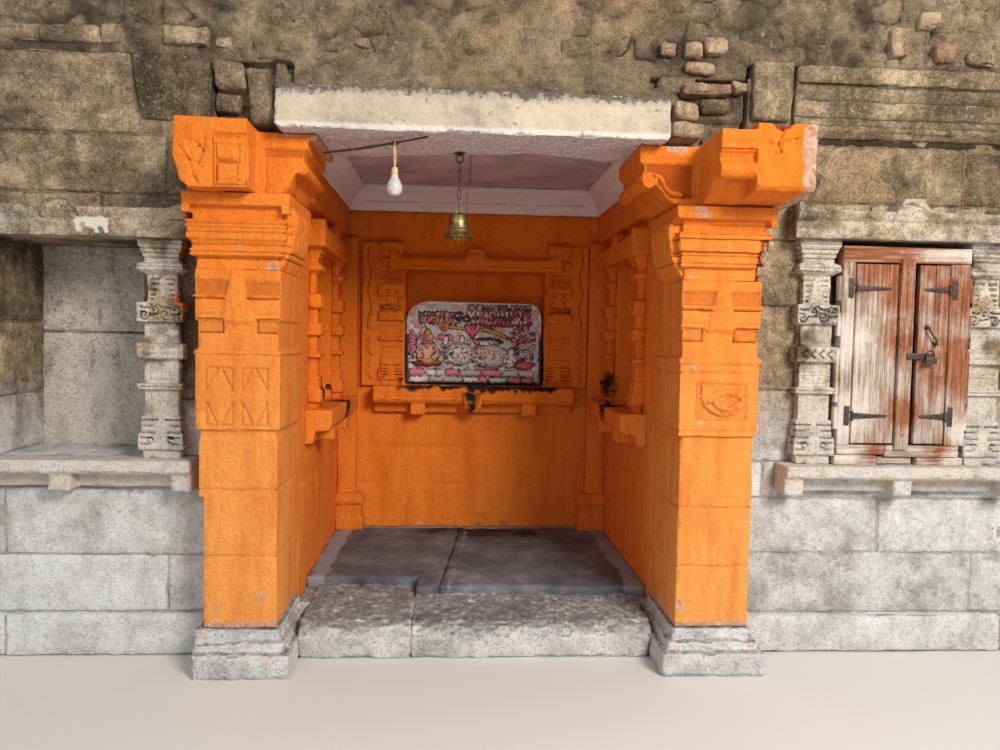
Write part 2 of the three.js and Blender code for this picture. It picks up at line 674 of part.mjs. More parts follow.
// A leaf hung at x = hinge, reaching to x = meet, with two tapering straps rolled round the pins.
function doorLeaf(hinge, meet) {
  const toMeet = Math.sign(meet - hinge);
  const board = block(
    Math.min(hinge, meet), Math.max(hinge, meet), doorFront, doorFront + leafThickness, doorBottom, doorTop,
  );
  const straps = strapHeights.map((z) => {
    const length = Math.abs(meet - hinge) * 0.82;
    const shape = outline([[0, z - 13], [length, z - 5], [length, z + 5], [0, z + 13]]);
    const strap = alongY(shape, doorFront - 4, doorFront + 1);
    return (toMeet < 0 ? mirrored(strap) : strap).translate(hinge, 0, 0);
  });
  const knuckles = strapHeights.map((z) => turned([
    [0, z - knuckleHalf], [knuckleRadius, z - knuckleHalf],
    [knuckleRadius, z + knuckleHalf], [0, z + knuckleHalf],
  ], 12).translate(hinge, hingeLine, 0));
  const bores = strapHeights.map((z) => turned([
    [0, z - 30], [knuckleBore, z - 30], [knuckleBore, z + 30], [0, z + 30],
  ], 12).translate(hinge, hingeLine, 0));
  return cut(join(board, ...straps, ...knuckles), ...bores);
}
addPiece("niche_door_left_leaf", doorLeaf(leftLeaf.from, leftLeaf.to), wornWood);

// The right leaf's pull and its hasp, which reaches over the post and carries a padlock.
const pull = { from: rightLeaf.from + 36, to: rightLeaf.from + 48, bottom: 1296, top: 1372 };
const pullFoot = 12;
const handle = join(
  block(pull.from, pull.to, doorFront - 16, doorFront + 1, pull.bottom, pull.bottom + pullFoot),
  block(pull.from, pull.to, doorFront - 16, doorFront + 1, pull.top - pullFoot, pull.top),
  block(pull.from, pull.to, doorFront - 22, doorFront - 14, pull.bottom, pull.top),
);
const haspHeight = 1254;
const haspLow = haspHeight - 12;
const haspHigh = haspHeight + 12;
const hasp = join(
  block(postTo - 26, rightLeaf.from + 56, postFace - 8, postFace - 3, haspLow, haspHigh),
  block(rightLeaf.from + 10, rightLeaf.from + 34, postFace - 4, doorFront + 1, haspLow, haspHigh),
  block(rightLeaf.from + 18, rightLeaf.from + 66, postFace - 24, postFace - 7, haspLow - 18, haspHigh - 6),
);
addPiece("niche_door_right_leaf", join(doorLeaf(rightLeaf.to, rightLeaf.from), handle, hasp), wornWood);

// Bell: an eye under the lintel, a chain, a cast bell with a crossbar inside, and a clapper.
const bellX = -101;
const bellY = 30;
const eyeWire = 3;
const eyeRadius = 15;
const eyeCentre = bracketTop - 24;
const bellPin = eyeCentre - eyeRadius; // the middle of the eye's lowest bar
const linkWire = 2.5;
const linkRadius = 6.2;
const linkBite = 0.4; // how far each link's bend is pressed into the next, as in a seized chain
const bellMouth = 1700;
const bellHeight = 100;
const bellTop = bellMouth + bellHeight;
const bellHangs = new THREE.Group();
bellHangs.position.set(bellX, bellY, 0);
shrine.add(bellHangs);

const eye = new THREE.TorusGeometry(eyeRadius, eyeWire, 8, 20).rotateX(Math.PI / 2);
eye.translate(0, 0, eyeCentre);
const eyeTop = eyeCentre + eyeRadius - 1;
addPiece("bell_eye", join(
  eye,
  turned([[0, eyeTop], [4, eyeTop], [4, bracketTop], [0, bracketTop]], 10),
  turned([[0, bracketTop - 6], [22, bracketTop - 6], [24, bracketTop], [0, bracketTop]], 12),
), darkIron, bellHangs);

// A chain link as a ring stretched along Z, in the YZ plane or turned to the XZ plane.
function chainLink(middle, length, turnedToX) {
  const link = new THREE.TorusGeometry(linkRadius, linkWire, 6, 16);
  const position = link.getAttribute("position");
  const stretch = length / 2 - linkRadius;
  for (let i = 0; i < position.count; i++) {
    const y = position.getY(i);
    position.setY(i, y + Math.sign(Math.abs(y) < 0.01 ? 1 : y) * stretch);
  }
  link.rotateX(Math.PI / 2);
  if (!turnedToX) link.rotateZ(Math.PI / 2);
  return link.translate(0, 0, middle);
}
const crownWire = 3;
const crownRadius = 13;
const crownCentre = bellTop + crownRadius - 2;
const firstLinkTop = bellPin + linkRadius; // the link's inner bend turns round the pin
const lastLinkBottom = crownCentre + crownRadius - crownWire - linkWire - seam;
const linkCount = 5;
const linkSpan = (firstLinkTop - lastLinkBottom) / linkCount;
const links = Array.from({ length: linkCount }, (_, i) => {
  const top = firstLinkTop - i * linkSpan + (i > 0 ? linkWire - linkBite : 0);
  const bottom = firstLinkTop - (i + 1) * linkSpan - (i < linkCount - 1 ? linkWire - linkBite : 0);
  return chainLink((top + bottom) / 2, top - bottom, i % 2 === 1);
});
addPiece("bell_chain", join(...links), darkIron, bellHangs);

const bellRows = [
  [64, bellMouth], [65, bellMouth + 3], [58, bellMouth + 10], [47, bellMouth + 26], [40, bellMouth + 48],
  [37, bellMouth + 76], [33, bellMouth + 90], [20, bellTop - 2], [0, bellTop],
];
const bellInner = [
  [0, bellTop - 8], [19, bellTop - 10], [29, bellMouth + 84], [33, bellMouth + 72], [36, bellMouth + 47],
  [43, bellMouth + 26], [54, bellMouth + 8], [60, bellMouth],
];
const clapperPin = bellMouth + 78;
const crossbarRadius = 2;
const crossbar = new THREE.CylinderGeometry(crossbarRadius, crossbarRadius, 70, 10).rotateZ(Math.PI / 2);
const crown = new THREE.TorusGeometry(crownRadius, crownWire, 8, 16).rotateX(Math.PI / 2);
addPiece("bell", join(
  turned([...bellRows, ...bellInner, bellRows[0]], 32),
  crossbar.translate(0, 0, clapperPin), crown.translate(0, 0, crownCentre),
), bellBrass, bellHangs);

const clapperRing = new THREE.TorusGeometry(4.6, 2, 6, 14).rotateY(Math.PI / 2).translate(0, 0, clapperPin);
const clapperRod = turned([
  [0, bellMouth - 22], [4, bellMouth - 20], [5, bellMouth - 8], [10, bellMouth - 2], [12, bellMouth + 6],
  [10, bellMouth + 14], [3, bellMouth + 20], [2.2, clapperPin - 4], [0, clapperPin - 4],
], 12);
addPiece("bell_clapper", join(clapperRing, clapperRod), bellBrass, bellHangs);

// A lamp hung from a twig that is wedged between the left bracket and the lintel's underside.
const twigRadius = 5;
const twigLeft = new THREE.Vector3(-openingHalf + leftArm + 40, -98, 1994);
const twigRight = new THREE.Vector3(-219, -232, bracketTop - twigRadius - seam);
const lamp = new THREE.Vector3(-344, -187, 2019); // where the flex loops over the twig
const twigPath = new THREE.CatmullRomCurve3([
  twigLeft, new THREE.Vector3(-480, -145, 2004), lamp, twigRight,
]);
function roundSection(radius, sides) {
  return outline(Array.from({ length: sides }, (_, i) => {
    const turn = (2 * Math.PI * i) / sides;
    return [radius * Math.cos(turn), radius * Math.sin(turn)];
  }));
}
function tube(path, radius, sides, steps) {
  const section = roundSection(radius, sides);
  return new THREE.ExtrudeGeometry(section, { extrudePath: path, steps, bevelEnabled: false });
}
addPiece("lamp_twig", tube(twigPath, twigRadius, 8, 12), twigBark);

const flexRadius = 3.2;
const loopRadius = twigRadius + flexRadius + 2.4;
const capTop = 1928;
const flexPath = new THREE.CatmullRomCurve3([
  [0, -5, capTop + 0.8], [-2, -10, 1966], [0, -loopRadius, lamp.z], [0, 1, lamp.z + loopRadius],
  [0, 2 + loopRadius, lamp.z], [3, 10, 1970], [0, 5, capTop + 0.8],
].map(([x, y, z]) => new THREE.Vector3(lamp.x + x, lamp.y + y, z)));
addPiece("lamp_flex", tube(flexPath, flexRadius, 8, 30), flexPlastic);
addPiece("lamp_bulb", turned([
  [0, capTop - 107], [18, capTop - 103], [27, capTop - 92], [30, capTop - 78], [29, capTop - 70],
  [24, capTop - 56], [15, capTop - 40], [12, capTop - 30], [12, capTop - 4], [11, capTop], [0, capTop],
], 20).translate(lamp.x, lamp.y, 0), lampGlass);

export default shrine;
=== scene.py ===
"""Looks for a saffron-painted shrine cell let into a stone temple wall.

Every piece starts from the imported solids: their shape is copied, given a fine skin, carved, worn
and painted. Metres, +X to the right, +Y into the wall, +Z up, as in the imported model.
"""

import itertools
import math
import random

import bmesh
import bpy
import numpy as np
from bpy.props import FloatProperty, FloatVectorProperty, PointerProperty
from mathutils import Matrix, Vector


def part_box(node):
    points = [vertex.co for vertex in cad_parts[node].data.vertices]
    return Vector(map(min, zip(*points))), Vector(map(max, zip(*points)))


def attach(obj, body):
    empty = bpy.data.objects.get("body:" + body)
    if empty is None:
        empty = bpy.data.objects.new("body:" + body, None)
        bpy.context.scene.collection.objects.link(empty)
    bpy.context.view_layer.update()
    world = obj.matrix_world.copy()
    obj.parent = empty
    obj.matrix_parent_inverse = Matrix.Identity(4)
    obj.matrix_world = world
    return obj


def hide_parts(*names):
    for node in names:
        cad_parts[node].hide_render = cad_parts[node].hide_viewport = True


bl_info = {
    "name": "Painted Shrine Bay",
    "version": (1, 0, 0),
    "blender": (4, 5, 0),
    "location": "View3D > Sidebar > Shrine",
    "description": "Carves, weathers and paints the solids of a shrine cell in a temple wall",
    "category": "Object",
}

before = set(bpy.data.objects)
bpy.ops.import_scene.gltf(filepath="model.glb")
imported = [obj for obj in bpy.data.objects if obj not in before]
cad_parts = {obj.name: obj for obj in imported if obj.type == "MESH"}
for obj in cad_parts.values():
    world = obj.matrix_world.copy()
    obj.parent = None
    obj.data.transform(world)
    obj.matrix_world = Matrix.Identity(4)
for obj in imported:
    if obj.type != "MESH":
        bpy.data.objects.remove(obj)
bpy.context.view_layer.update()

FRONT = np.array((0.0, -1.0, 0.0))
RIGHT = np.array((1.0, 0.0, 0.0))


def srgb(red, green, blue):
    """A display colour, 0 to 255, as the linear colour that shaders take."""
    def linear(value):
        share = value / 255
        return share / 12.92 if share <= 0.04045 else ((share + 0.055) / 1.055) ** 2.4
    return (linear(red), linear(green), linear(blue), 1.0)


# Shaders


class Wire:
    """A shader value that takes part in sums."""

    def __init__(self, finish, socket):
        self.finish = finish
        self.socket = socket

    def math(self, operation, first, second, third=0.0, clamp=False):
        settings = {"operation": operation, "use_clamp": clamp}
        return self.finish.node("Math", settings, {0: first, 1: second, 2: third})

    def __add__(self, other):
        return self.math("ADD", self, other)

    def __sub__(self, other):
        return self.math("SUBTRACT", self, other)

    def __mul__(self, other):
        return self.math("MULTIPLY", self, other)

    def __rsub__(self, other):
        return self.math("SUBTRACT", other, self)

    __radd__ = __add__
    __rmul__ = __mul__

    def above(self, edge, soft):
        """1 where the value is above edge, 0 below it, blurred over soft."""
        return self.math("MULTIPLY_ADD", self, 1 / soft, 0.5 - edge / soft, clamp=True)

    def below(self, edge, soft):
        return self.math("MULTIPLY_ADD", self, -1 / soft, 0.5 + edge / soft, clamp=True)


class Finish:
    """One procedural material on the object's own coordinates, painted coat over coat."""

    def __init__(self, name):
        self.material = bpy.data.materials.new(name)
        self.material.use_nodes = True
        self.tree = self.material.node_tree
        self.shader = self.tree.nodes["Principled BSDF"]
        self.place = self.node("TexCoord", out="Object")
        self.color = None

    def node(self, kind, settings=None, sockets=None, out=0):
        made = self.tree.nodes.new("ShaderNode" + kind)
        for key, value in (settings or {}).items():
            if key == "stops":
                elements = made.color_ramp.elements
                elements.remove(elements[1])
                for index, (position, color) in enumerate(value):
                    element = elements[0] if index == 0 else elements.new(position)
                    element.position = position
                    element.color = color
            else:
                setattr(made, key, value)
        for key, value in (sockets or {}).items():
            self.join(value, made.inputs[key])
        return Wire(self, made.outputs[out])

    def join(self, value, socket):
        if isinstance(value, Wire):
            self.tree.links.new(value.socket, socket)
        else:
            socket.default_value = value

    def noise(self, size, detail, rough, stretch=None):
        """Clouds with lumps of this size in metres, about 0.5 in the middle."""
        place = self.place
        if stretch:
            place = self.node("Mapping", {}, {"Vector": place, "Scale": stretch})
        sockets = {"Vector": place, "Scale": 1 / size, "Detail": detail, "Roughness": rough}
        return self.node("TexNoise", {}, sockets)

    def drift(self, size, detail, rough, height):
        """The same clouds about 0, this high."""
        return (self.noise(size, detail, rough) - 0.5) * height

    def mark(self, name):
        """A number that the mesh carries on its points."""
        return self.node("Attribute", {"attribute_name": name}, out="Fac")

    def along(self, axis):
        return self.node("SeparateXYZ", {}, {0: self.place}, axis)

    def upward(self):
        """1 where the surface faces up, -1 where it faces down."""
        side = self.node("NewGeometry", out="Normal")
        return self.node("SeparateXYZ", {}, {0: side}, "Z")

    def ramp(self, value, *stops):
        """Colours over a value; a stop is its position, then red, green and blue."""
        stops = [(position, srgb(*rgb)) for position, *rgb in stops]
        return self.node("ValToRGB", {"stops": stops}, {0: value})

    def tint(self, first, second, factor):
        return self.node("Mix", {"data_type": "RGBA"}, {0: factor, 6: first, 7: second}, 2)

    def coat(self, color, share):
        """Lays red, green and blue, or a ramp's colours, over what is painted so far."""
        over = color if isinstance(color, Wire) else srgb(*color)
        self.color = self.tint(self.color, over, share)

    def surface(self, roughness, relief=None, strength=0.5, depth=0.004, **fixed):
        """Joins colour, roughness and fine relief to the shader; fixed names its own sockets."""
        self.join(self.color, self.shader.inputs["Base Color"])
        self.join(roughness, self.shader.inputs["Roughness"])
        for key, value in fixed.items():
            self.shader.inputs[key.replace("_", " ")].default_value = value
        if relief is not None:
            bump = self.node("Bump", {}, {"Strength": strength, "Distance": depth, "Height": relief})
            self.join(bump, self.shader.inputs["Normal"])
        return self.material


def saffron_finish():
    """Thick saffron distemper, worn in places: paler low down from dust and from painted light, with painted
    shade inside the cell, in the carving and in the grain's hollows, and painted highlights on the grain's
    lumps.
    """
    made = Finish("saffron_distemper")
    paint = bpy.context.scene.shrine_paint
    grain = made.noise(0.012, 5.0, 0.7)
    streak = made.noise(0.07, 5.0, 0.65, stretch=(1, 1, 0.16))
    # Deep saffron high up turns to light saffron low down: partly dust low down, partly painted light on the
    # lower faces and painted shade on the upper ones.
    low = made.along("Z").below(1.25, 1.7) + made.drift(0.3, 6.0, 0.65, 0.8)
    made.color = made.tint((*paint.saffron_deep, 1), (*paint.saffron_light, 1), low.above(0.5, 0.9))
    # Deeper, more saturated saffron inside the cell: painted shade of the cell's interior.
    made.coat((234, 118, 6), made.along("Y").above(0.2, 0.5) * 0.7)
    made.coat((198, 84, 8), streak.above(0.56, 0.2) * 0.4)
    # Lighter on the grain's lumps and darker in its hollows: painted highlight and painted shade on the
    # paint's fine relief.
    made.coat((250, 172, 92), grain.above(0.6, 0.15) * 0.3)
    made.coat((206, 92, 14), grain.below(0.41, 0.12) * 0.18)
    # Painted shade in the carving's hollows, by the mark deep.
    made.coat((138, 48, 2), made.mark("deep").above(0.68, 0.6) * 0.9)
    stone = made.ramp(
        made.noise(0.025, 7.0, 0.7), (0.3, 134, 104, 86), (0.48, 186, 152, 130), (0.62, 214, 190, 168),
    )
    bare = made.mark("bare")
    worn = bare + made.drift(0.022, 8.0, 0.75, 1.5) + (grain - 0.5) * 0.6
    made.coat(stone, worn.above(0.66, 0.3) * bare.above(0.16, 0.1) * 0.85)
    soot = made.mark("soot")
    sooty = soot + made.drift(0.04, 7.0, 0.75, 1.3)
    made.coat((38, 26, 22), sooty.above(0.62, 0.4) * soot.above(0.1, 0.1))
    relief = grain * 1.4 + made.noise(0.035, 6.0, 0.7) * 1.5 + streak * 0.5
    return made.surface(0.8, relief, 0.8, 0.008, Specular_IOR_Level=0.22)


def bare_stone_finish():
    """Worn pale stone with whitish and pinkish patches and pits, darker where it is trodden, with painted
    shade in its carved hollows.
    """
    made = Finish("bare_stone")
    made.color = made.ramp(
        made.noise(0.16, 8.0, 0.65), (0.3, 142, 141, 140), (0.45, 182, 181, 179), (0.6, 212, 211, 208),
        (0.74, 220, 218, 214),
    )
    flush = made.noise(0.07, 6.0, 0.7)
    made.coat((222, 136, 84), flush.above(0.63, 0.08) * made.mark("bare"))
    made.coat((204, 198, 198), flush.below(0.42, 0.1) * 0.4)
    pecks = made.noise(0.011, 6.0, 0.75)
    made.coat((82, 80, 80), pecks.below(0.43, 0.1) * 0.45)
    made.coat((226, 224, 220), pecks.above(0.6, 0.1) * 0.4)
    # Painted shade in the pecked carving's hollows, by the mark deep.
    made.coat((72, 70, 70), made.mark("deep") * 0.5)
    trodden = made.upward().above(0.7, 0.4) * made.noise(0.03, 7.0, 0.8).below(0.56, 0.2)
    made.coat((84, 84, 88), trodden * 0.75)
    pits = made.node("TexVoronoi", {}, {"Vector": made.place, "Scale": 1 / 0.018}, "Distance")
    made.coat((70, 64, 58), pits.below(0.16, 0.14) * 0.55)
    relief = made.noise(0.02, 7.0, 0.75) + pits.above(0.2, 0.3) * 0.35 + pecks * 0.6
    return made.surface(0.92, relief, 0.7, 0.008, Specular_IOR_Level=0.3)


def weathered(name, warm, pale_top):
    """Grey-brown stone that turns pale grey towards the ground, pecked all over, with painted shade in its
    carved hollows and joints; and its relief.
    """
    made = Finish(name)
    cloud = made.noise(0.2, 8.0, 0.7) * 1.2 - 0.1
    value = cloud + made.mark("tone") * 0.26 - 0.13 + made.drift(0.055, 8.0, 0.75, 0.55)
    high = made.ramp(
        value, (0.28, 80, 66, 47), (0.44, 122, 104, 80), (0.56, 156, 136, 108), (0.7, 202, 180, 146),
    )
    low = made.ramp(
        value, (0.28, 168, 167, 164), (0.44, 206, 206, 204), (0.58, 226, 226, 226), (0.72, 236, 237, 238),
    )
    level = made.along("Z").below(pale_top, 0.5) + made.drift(0.3, 5.0, 0.6, 0.5)
    made.color = made.tint(high, low, level.above(0.5, 0.7))
    made.coat((204, 172, 130), made.mark("warm"))
    made.coat((178, 128, 104), made.mark("blush") * 0.8)
    # A pale coat of peeled whitewash; on the niche's back stones the mark pale also stands for painted light
    # that lifts their shade.
    peel_and_painted_light = made.mark("pale") * 1.5 + made.drift(0.07, 9.0, 0.75, 1.9)
    made.coat((222, 211, 196), peel_and_painted_light.above(0.88, 0.7))
    stain = made.noise(0.08, 7.0, 0.7, stretch=(1, 1, 0.35))
    made.coat((66, 54, 40), stain.above(0.6, 0.14) * (0.55 - level * 0.35))
    lime = made.noise(0.045, 9.0, 0.78)
    made.coat((214, 202, 180), lime.above(0.62, 0.08) * (warm + level * 0.3))
    pecks = made.noise(0.009, 6.0, 0.75)
    made.coat((52, 43, 33), pecks.below(0.44, 0.12) * (0.55 - level * 0.2))
    made.coat((214, 202, 180), pecks.above(0.6, 0.1) * 0.35)
    pores = made.noise(0.022, 8.0, 0.75)
    made.coat((66, 54, 41), pores.below(0.42, 0.12) * (0.42 - level * 0.2))
    # Painted shade in the carved hollows, joints and cracks, by the mark deep.
    made.coat((40, 32, 24), made.mark("deep").above(0.6, 0.6) * 0.8)
    spill = made.noise(0.02, 7.0, 0.75) - 0.5
    made.coat((226, 216, 200), (made.mark("lime") + spill * 1.6).above(0.5, 0.3))
    made.coat((232, 128, 52), (made.mark("splash") + spill).above(0.5, 0.1))
    return made, pecks * 1.3 + lime * 0.5 + pores * 1.2


def wall_stone_finish():
    """Weathered blocks, each in its own tone, with pale lime, lichen and dark stains."""
    made, relief = weathered("wall_stone", 0.5, 0.95)
    return made.surface(0.95, relief, 0.75, 0.009, Specular_IOR_Level=0.2)


def mortar_finish():
    """Coarse lime mortar, pale where it is fresh."""
    made, relief = weathered("lime_mortar", 0.75, 0.9)
    made.coat((168, 146, 118), made.noise(0.1, 7.0, 0.7).above(0.5, 0.3) * 0.35)
    return made.surface(0.97, relief, 1.0, 0.012, Specular_IOR_Level=0.2)


def whitewash_finish():
    """Peeling whitewash with black specks, bluish at its upper edge, and paler and mauve where it faces down
    as painted light on the undersides.
    """
    made = Finish("whitewash")
    cloud = made.noise(0.18, 8.0, 0.7)
    made.color = made.ramp(
        cloud, (0.34, 170, 156, 140), (0.48, 204, 188, 164), (0.62, 216, 200, 174), (0.74, 222, 186, 152),
    )
    upper = made.along("Z") + (cloud - 0.5) * 0.08
    made.coat((168, 158, 146), upper.above(2.17, 0.03) * 0.85)
    grime = made.noise(0.03, 8.0, 0.75) + upper.above(2.18, 0.05) * 0.28
    made.coat((112, 98, 84), grime.above(0.64, 0.1))
    made.coat((240, 232, 222), made.along("Z").below(2.062, 0.012) * 0.7)
    # Paler colours on faces that point down: painted light on the undersides.
    soffit_painted_light = made.ramp(
        made.noise(0.02, 8.0, 0.8), (0.4, 172, 160, 158), (0.52, 226, 218, 214), (0.64, 244, 240, 236),
    )
    made.coat(soffit_painted_light, made.upward().below(-0.45, 0.3))
    specks = made.noise(0.011, 6.0, 0.8)
    dense = made.mark("bare") * 0.12 + made.noise(0.08, 5.0, 0.75) * 0.14
    made.coat((52, 46, 42), (specks + dense).above(0.715, 0.03))
    return made.surface(0.9, specks + made.noise(0.04, 6.0, 0.7), 0.9, 0.009)


def lilac_finish():
    """Lilac limewash, paler on the coves, sooty where lamps have burned, with painted shade in its grooves.
    """
    made = Finish("lilac_limewash")
    made.color = made.ramp(made.noise(0.3, 6.0, 0.6), (0.35, 156, 148, 154), (0.6, 194, 186, 190))
    made.coat((240, 230, 226), made.mark("bare") * 0.8)
    # Painted shade in the grooves, by the mark deep.
    made.coat((84, 62, 58), made.mark("deep"))
    made.coat((40, 34, 36), (made.mark("soot") + made.drift(0.06, 6.0, 0.7, 0.8)).above(0.6, 0.25))
    made.coat((118, 96, 88), made.noise(0.05, 8.0, 0.75).above(0.64, 0.06) * 0.5)
    return made.surface(0.88, made.noise(0.02, 6.0, 0.7), 0.45, 0.005)


def floor_finish():
    """Dark paving with soot, mortar run over its edges and fine dust."""
    made = Finish("floor_slab")
    made.color = made.ramp(
        made.noise(0.25, 8.0, 0.7), (0.35, 66, 66, 72), (0.55, 100, 102, 110), (0.7, 134, 135, 142),
    )
    made.coat((26, 20, 20), (made.mark("soot") + made.drift(0.09, 7.0, 0.75, 0.9)).above(0.55, 0.4))
    made.coat((140, 140, 144), (made.mark("lime") + made.drift(0.05, 7.0, 0.75, 1)).above(0.5, 0.3))
    made.coat((158, 140, 134), made.noise(0.006, 4.0, 0.8).above(0.66, 0.08) * 0.35)
    return made.surface(0.86, made.noise(0.03, 7.0, 0.7), 0.6, 0.006)


def relief_finish():
    """Oil paint over carving: the colours that the mesh carries, with painted shade in the hollows and a film
    of dust.
    """
    made = Finish("oil_paint")
    made.color = made.node("Attribute", {"attribute_name": "paint"}, out="Color")
    # Painted shade in the relief's hollows, by the mark deep.
    made.coat((40, 36, 38), made.mark("deep") * 0.12)
    made.coat((120, 112, 104), made.noise(0.03, 7.0, 0.75).above(0.55, 0.3) * 0.3)
    soot = made.along("Z").below(1.035, 0.05) + made.drift(0.03, 6.0, 0.75, 1)
    made.coat((24, 20, 20), soot.above(0.5, 0.3))
    return made.surface(0.4, made.noise(0.01, 4.0, 0.6), 0.3, 0.002, Coat_Weight=0.2)


def wood_finish():
    """Red-brown paint rubbed off grey-white wood; the mark "tone" tells which boards lie level."""
    made = Finish("worn_wood")

    def along_boards(size, detail, rough):
        upright = made.noise(size, detail, rough, stretch=(1, 1, 0.06))
        level = made.noise(size, detail, rough, stretch=(0.06, 1, 1))
        return upright + (level - upright) * made.mark("tone")

    grain = along_boards(0.012, 6.0, 0.65)
    fibre = along_boards(0.0035, 5.0, 0.7)
    made.color = made.ramp(grain, (0.36, 104, 58, 38), (0.52, 142, 88, 60), (0.66, 172, 124, 92))
    pale = made.ramp(grain, (0.34, 124, 104, 90), (0.48, 164, 146, 130), (0.64, 196, 184, 172))
    rub = made.drift(0.13, 8.0, 0.75, 2.4) + (fibre - 0.5) * 0.4
    made.coat(pale, (made.mark("bare") + rub).above(0.5, 0.7))
    white = made.mark("pale") + made.drift(0.06, 8.0, 0.75, 1.2)
    made.coat((222, 212, 202), white.above(0.66, 0.4) * 0.6)
    made.coat((98, 62, 46), fibre.below(0.4, 0.08) * 0.45)
    return made.surface(0.85, grain * 0.6 + fibre, 0.5, 0.003, Specular_IOR_Level=0.2)


def brass_finish():
    """Tarnished brass with pale scratches."""
    made = Finish("bell_brass")
    cloud = made.noise(0.03, 6.0, 0.65)
    made.color = made.ramp(cloud, (0.35, 96, 82, 48), (0.55, 146, 126, 78), (0.7, 176, 156, 104))
    scratch = made.noise(0.01, 5.0, 0.8, stretch=(1, 1, 0.2))
    made.coat((206, 204, 192), scratch.above(0.62, 0.06) * 0.7)
    return made.surface(cloud * 0.3 + 0.25, scratch, 0.25, 0.0006, Metallic=0.9)


def clouded(name, size, detail, rough, stops, gloss, strength, depth, stretch=None, **fixed):
    """A plain finish: one cloud gives its colours and its fine relief."""
    def make():
        made = Finish(name)
        cloud = made.noise(size, detail, rough, stretch)
        made.color = made.ramp(cloud, *stops)
        return made.surface(gloss, cloud, strength, depth, **fixed)

    return make


FINISHES = {
    "saffron_paint": saffron_finish, "bare_stone": bare_stone_finish, "wall_stone": wall_stone_finish,
    "mortar": mortar_finish, "whitewash": whitewash_finish, "lilac_wash": lilac_finish,
    "floor_stone": floor_finish, "painted_relief": relief_finish, "worn_wood": wood_finish,
    "bell_brass": brass_finish,
    "dark_iron": clouded(
        "dark_iron", 0.015, 6.0, 0.7, ((0.4, 54, 46, 44), (0.6, 88, 68, 58), (0.75, 116, 78, 58)),
        0.6, 0.4, 0.001, Metallic=0.4,
    ),
    "twig_wood": clouded(
        "twig_bark", 0.01, 6.0, 0.7, ((0.35, 44, 34, 26), (0.62, 92, 72, 54)), 0.9, 0.6, 0.001, (0.2, 1, 1),
    ),
    "flex_plastic": clouded(
        "yellowed_flex", 0.01, 4.0, 0.6, ((0.35, 176, 146, 96), (0.65, 222, 196, 146)), 0.5, 0.2, 0.0005,
    ),
    "lamp_glass": clouded(
        "frosted_glass", 0.02, 4.0, 0.6, ((0.3, 170, 168, 166), (0.7, 212, 208, 202)), 0.18, 0.1, 0.0004,
        Coat_Weight=0.4,
    ),
}
made_finishes = {}


def finish(slot):
    """The material of a slot, made once."""
    if slot not in made_finishes:
        made_finishes[slot] = FINISHES[slot]()
    return made_finishes[slot]


# Meshes

# The mark deep, which the finishes use for painted shade in hollows, reaches 1 at this depth.
DARK_DEPTH = 0.012  # carving this deep or deeper shows fully dark
THINNING = 0.38  # share of its triangles that a carved skin keeps, times its own share
SAME_POINT = 1e-5  # points nearer than this are one


def lumps(points, size, seed=0):
    """Smooth random heights from -1 to 1 at the points, in lumps of this size in metres."""
    scaled = points / size + seed * 7.31
    cell = np.floor(scaled).astype(np.int64)
    part = scaled - cell
    part = part * part * (3 - 2 * part)
    total = np.zeros(len(points))
    for corner in itertools.product((0, 1), repeat=3):
        key = (cell + corner) @ np.array([73856093, 19349663, 83492791])
        key = (key ^ (key >> 13)) * 1274126177
        value = ((key ^ (key >> 16)) & 0xFFFF) / 0x7FFF - 1
        total += value * np.prod(np.where(corner, part, 1 - part), axis=1)
    return total


def rubble_lumps(points, size, seed=0):
    """Lumps with finer lumps on them."""
    fine = 0.5 * lumps(points, size / 2.1, seed + 1) + 0.25 * lumps(points, size / 4.3, seed + 2)
    return lumps(points, size, seed) + fine


def cad_shape(*nodes):
    """The merged shape of these CAD nodes, as a bmesh."""
    shape = bmesh.new()
    for node in nodes:
        shape.from_mesh(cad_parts[node].data)
    bmesh.ops.remove_doubles(shape, verts=shape.verts, dist=SAME_POINT)
    return shape


def add_block(shape, low, high):
    """A box in the bmesh, from its lowest to its highest corner."""
    low, high = Vector(low), Vector(high)
    made = bmesh.ops.create_cube(shape, size=1)["verts"]
    bmesh.ops.scale(shape, vec=high - low, verts=made)
    bmesh.ops.translate(shape, vec=(low + high) / 2, verts=made)
    return made


def put(name, data):
    """A new object in the scene."""
    made = bpy.data.objects.new(name, data)
    bpy.context.scene.collection.objects.link(made)
    return made


def as_object(name, shape):
    mesh = bpy.data.meshes.new(name)
    shape.to_mesh(mesh)
    shape.free()
    return put(name, mesh)


def shown_mesh(piece):
    """The mesh that a piece shows, with its modifiers."""
    graph = bpy.context.evaluated_depsgraph_get()
    return bpy.data.meshes.new_from_object(piece.evaluated_get(graph))


def apply(piece, kind, **settings):
    """Puts one modifier on the piece and applies it."""
    modifier = piece.modifiers.new(kind.title(), kind)
    for key, value in settings.items():
        setattr(modifier, key, value)
    mesh = shown_mesh(piece)
    piece.modifiers.clear()
    old = piece.data
    piece.data = mesh
    bpy.data.meshes.remove(old)


def points_of(piece):
    """The places and normals of a mesh's points, as arrays."""
    mesh = piece.data
    places = np.zeros(len(mesh.vertices) * 3, np.float32)
    normals = np.zeros(len(mesh.vertices) * 3, np.float32)
    mesh.vertices.foreach_get("co", places)
    mesh.vertex_normals.foreach_get("vector", normals)
    return places.reshape(-1, 3).astype(float), normals.reshape(-1, 3).astype(float)


def move_points(piece, places):
    piece.data.vertices.foreach_set("co", places.astype(np.float32).ravel())
    piece.data.update()


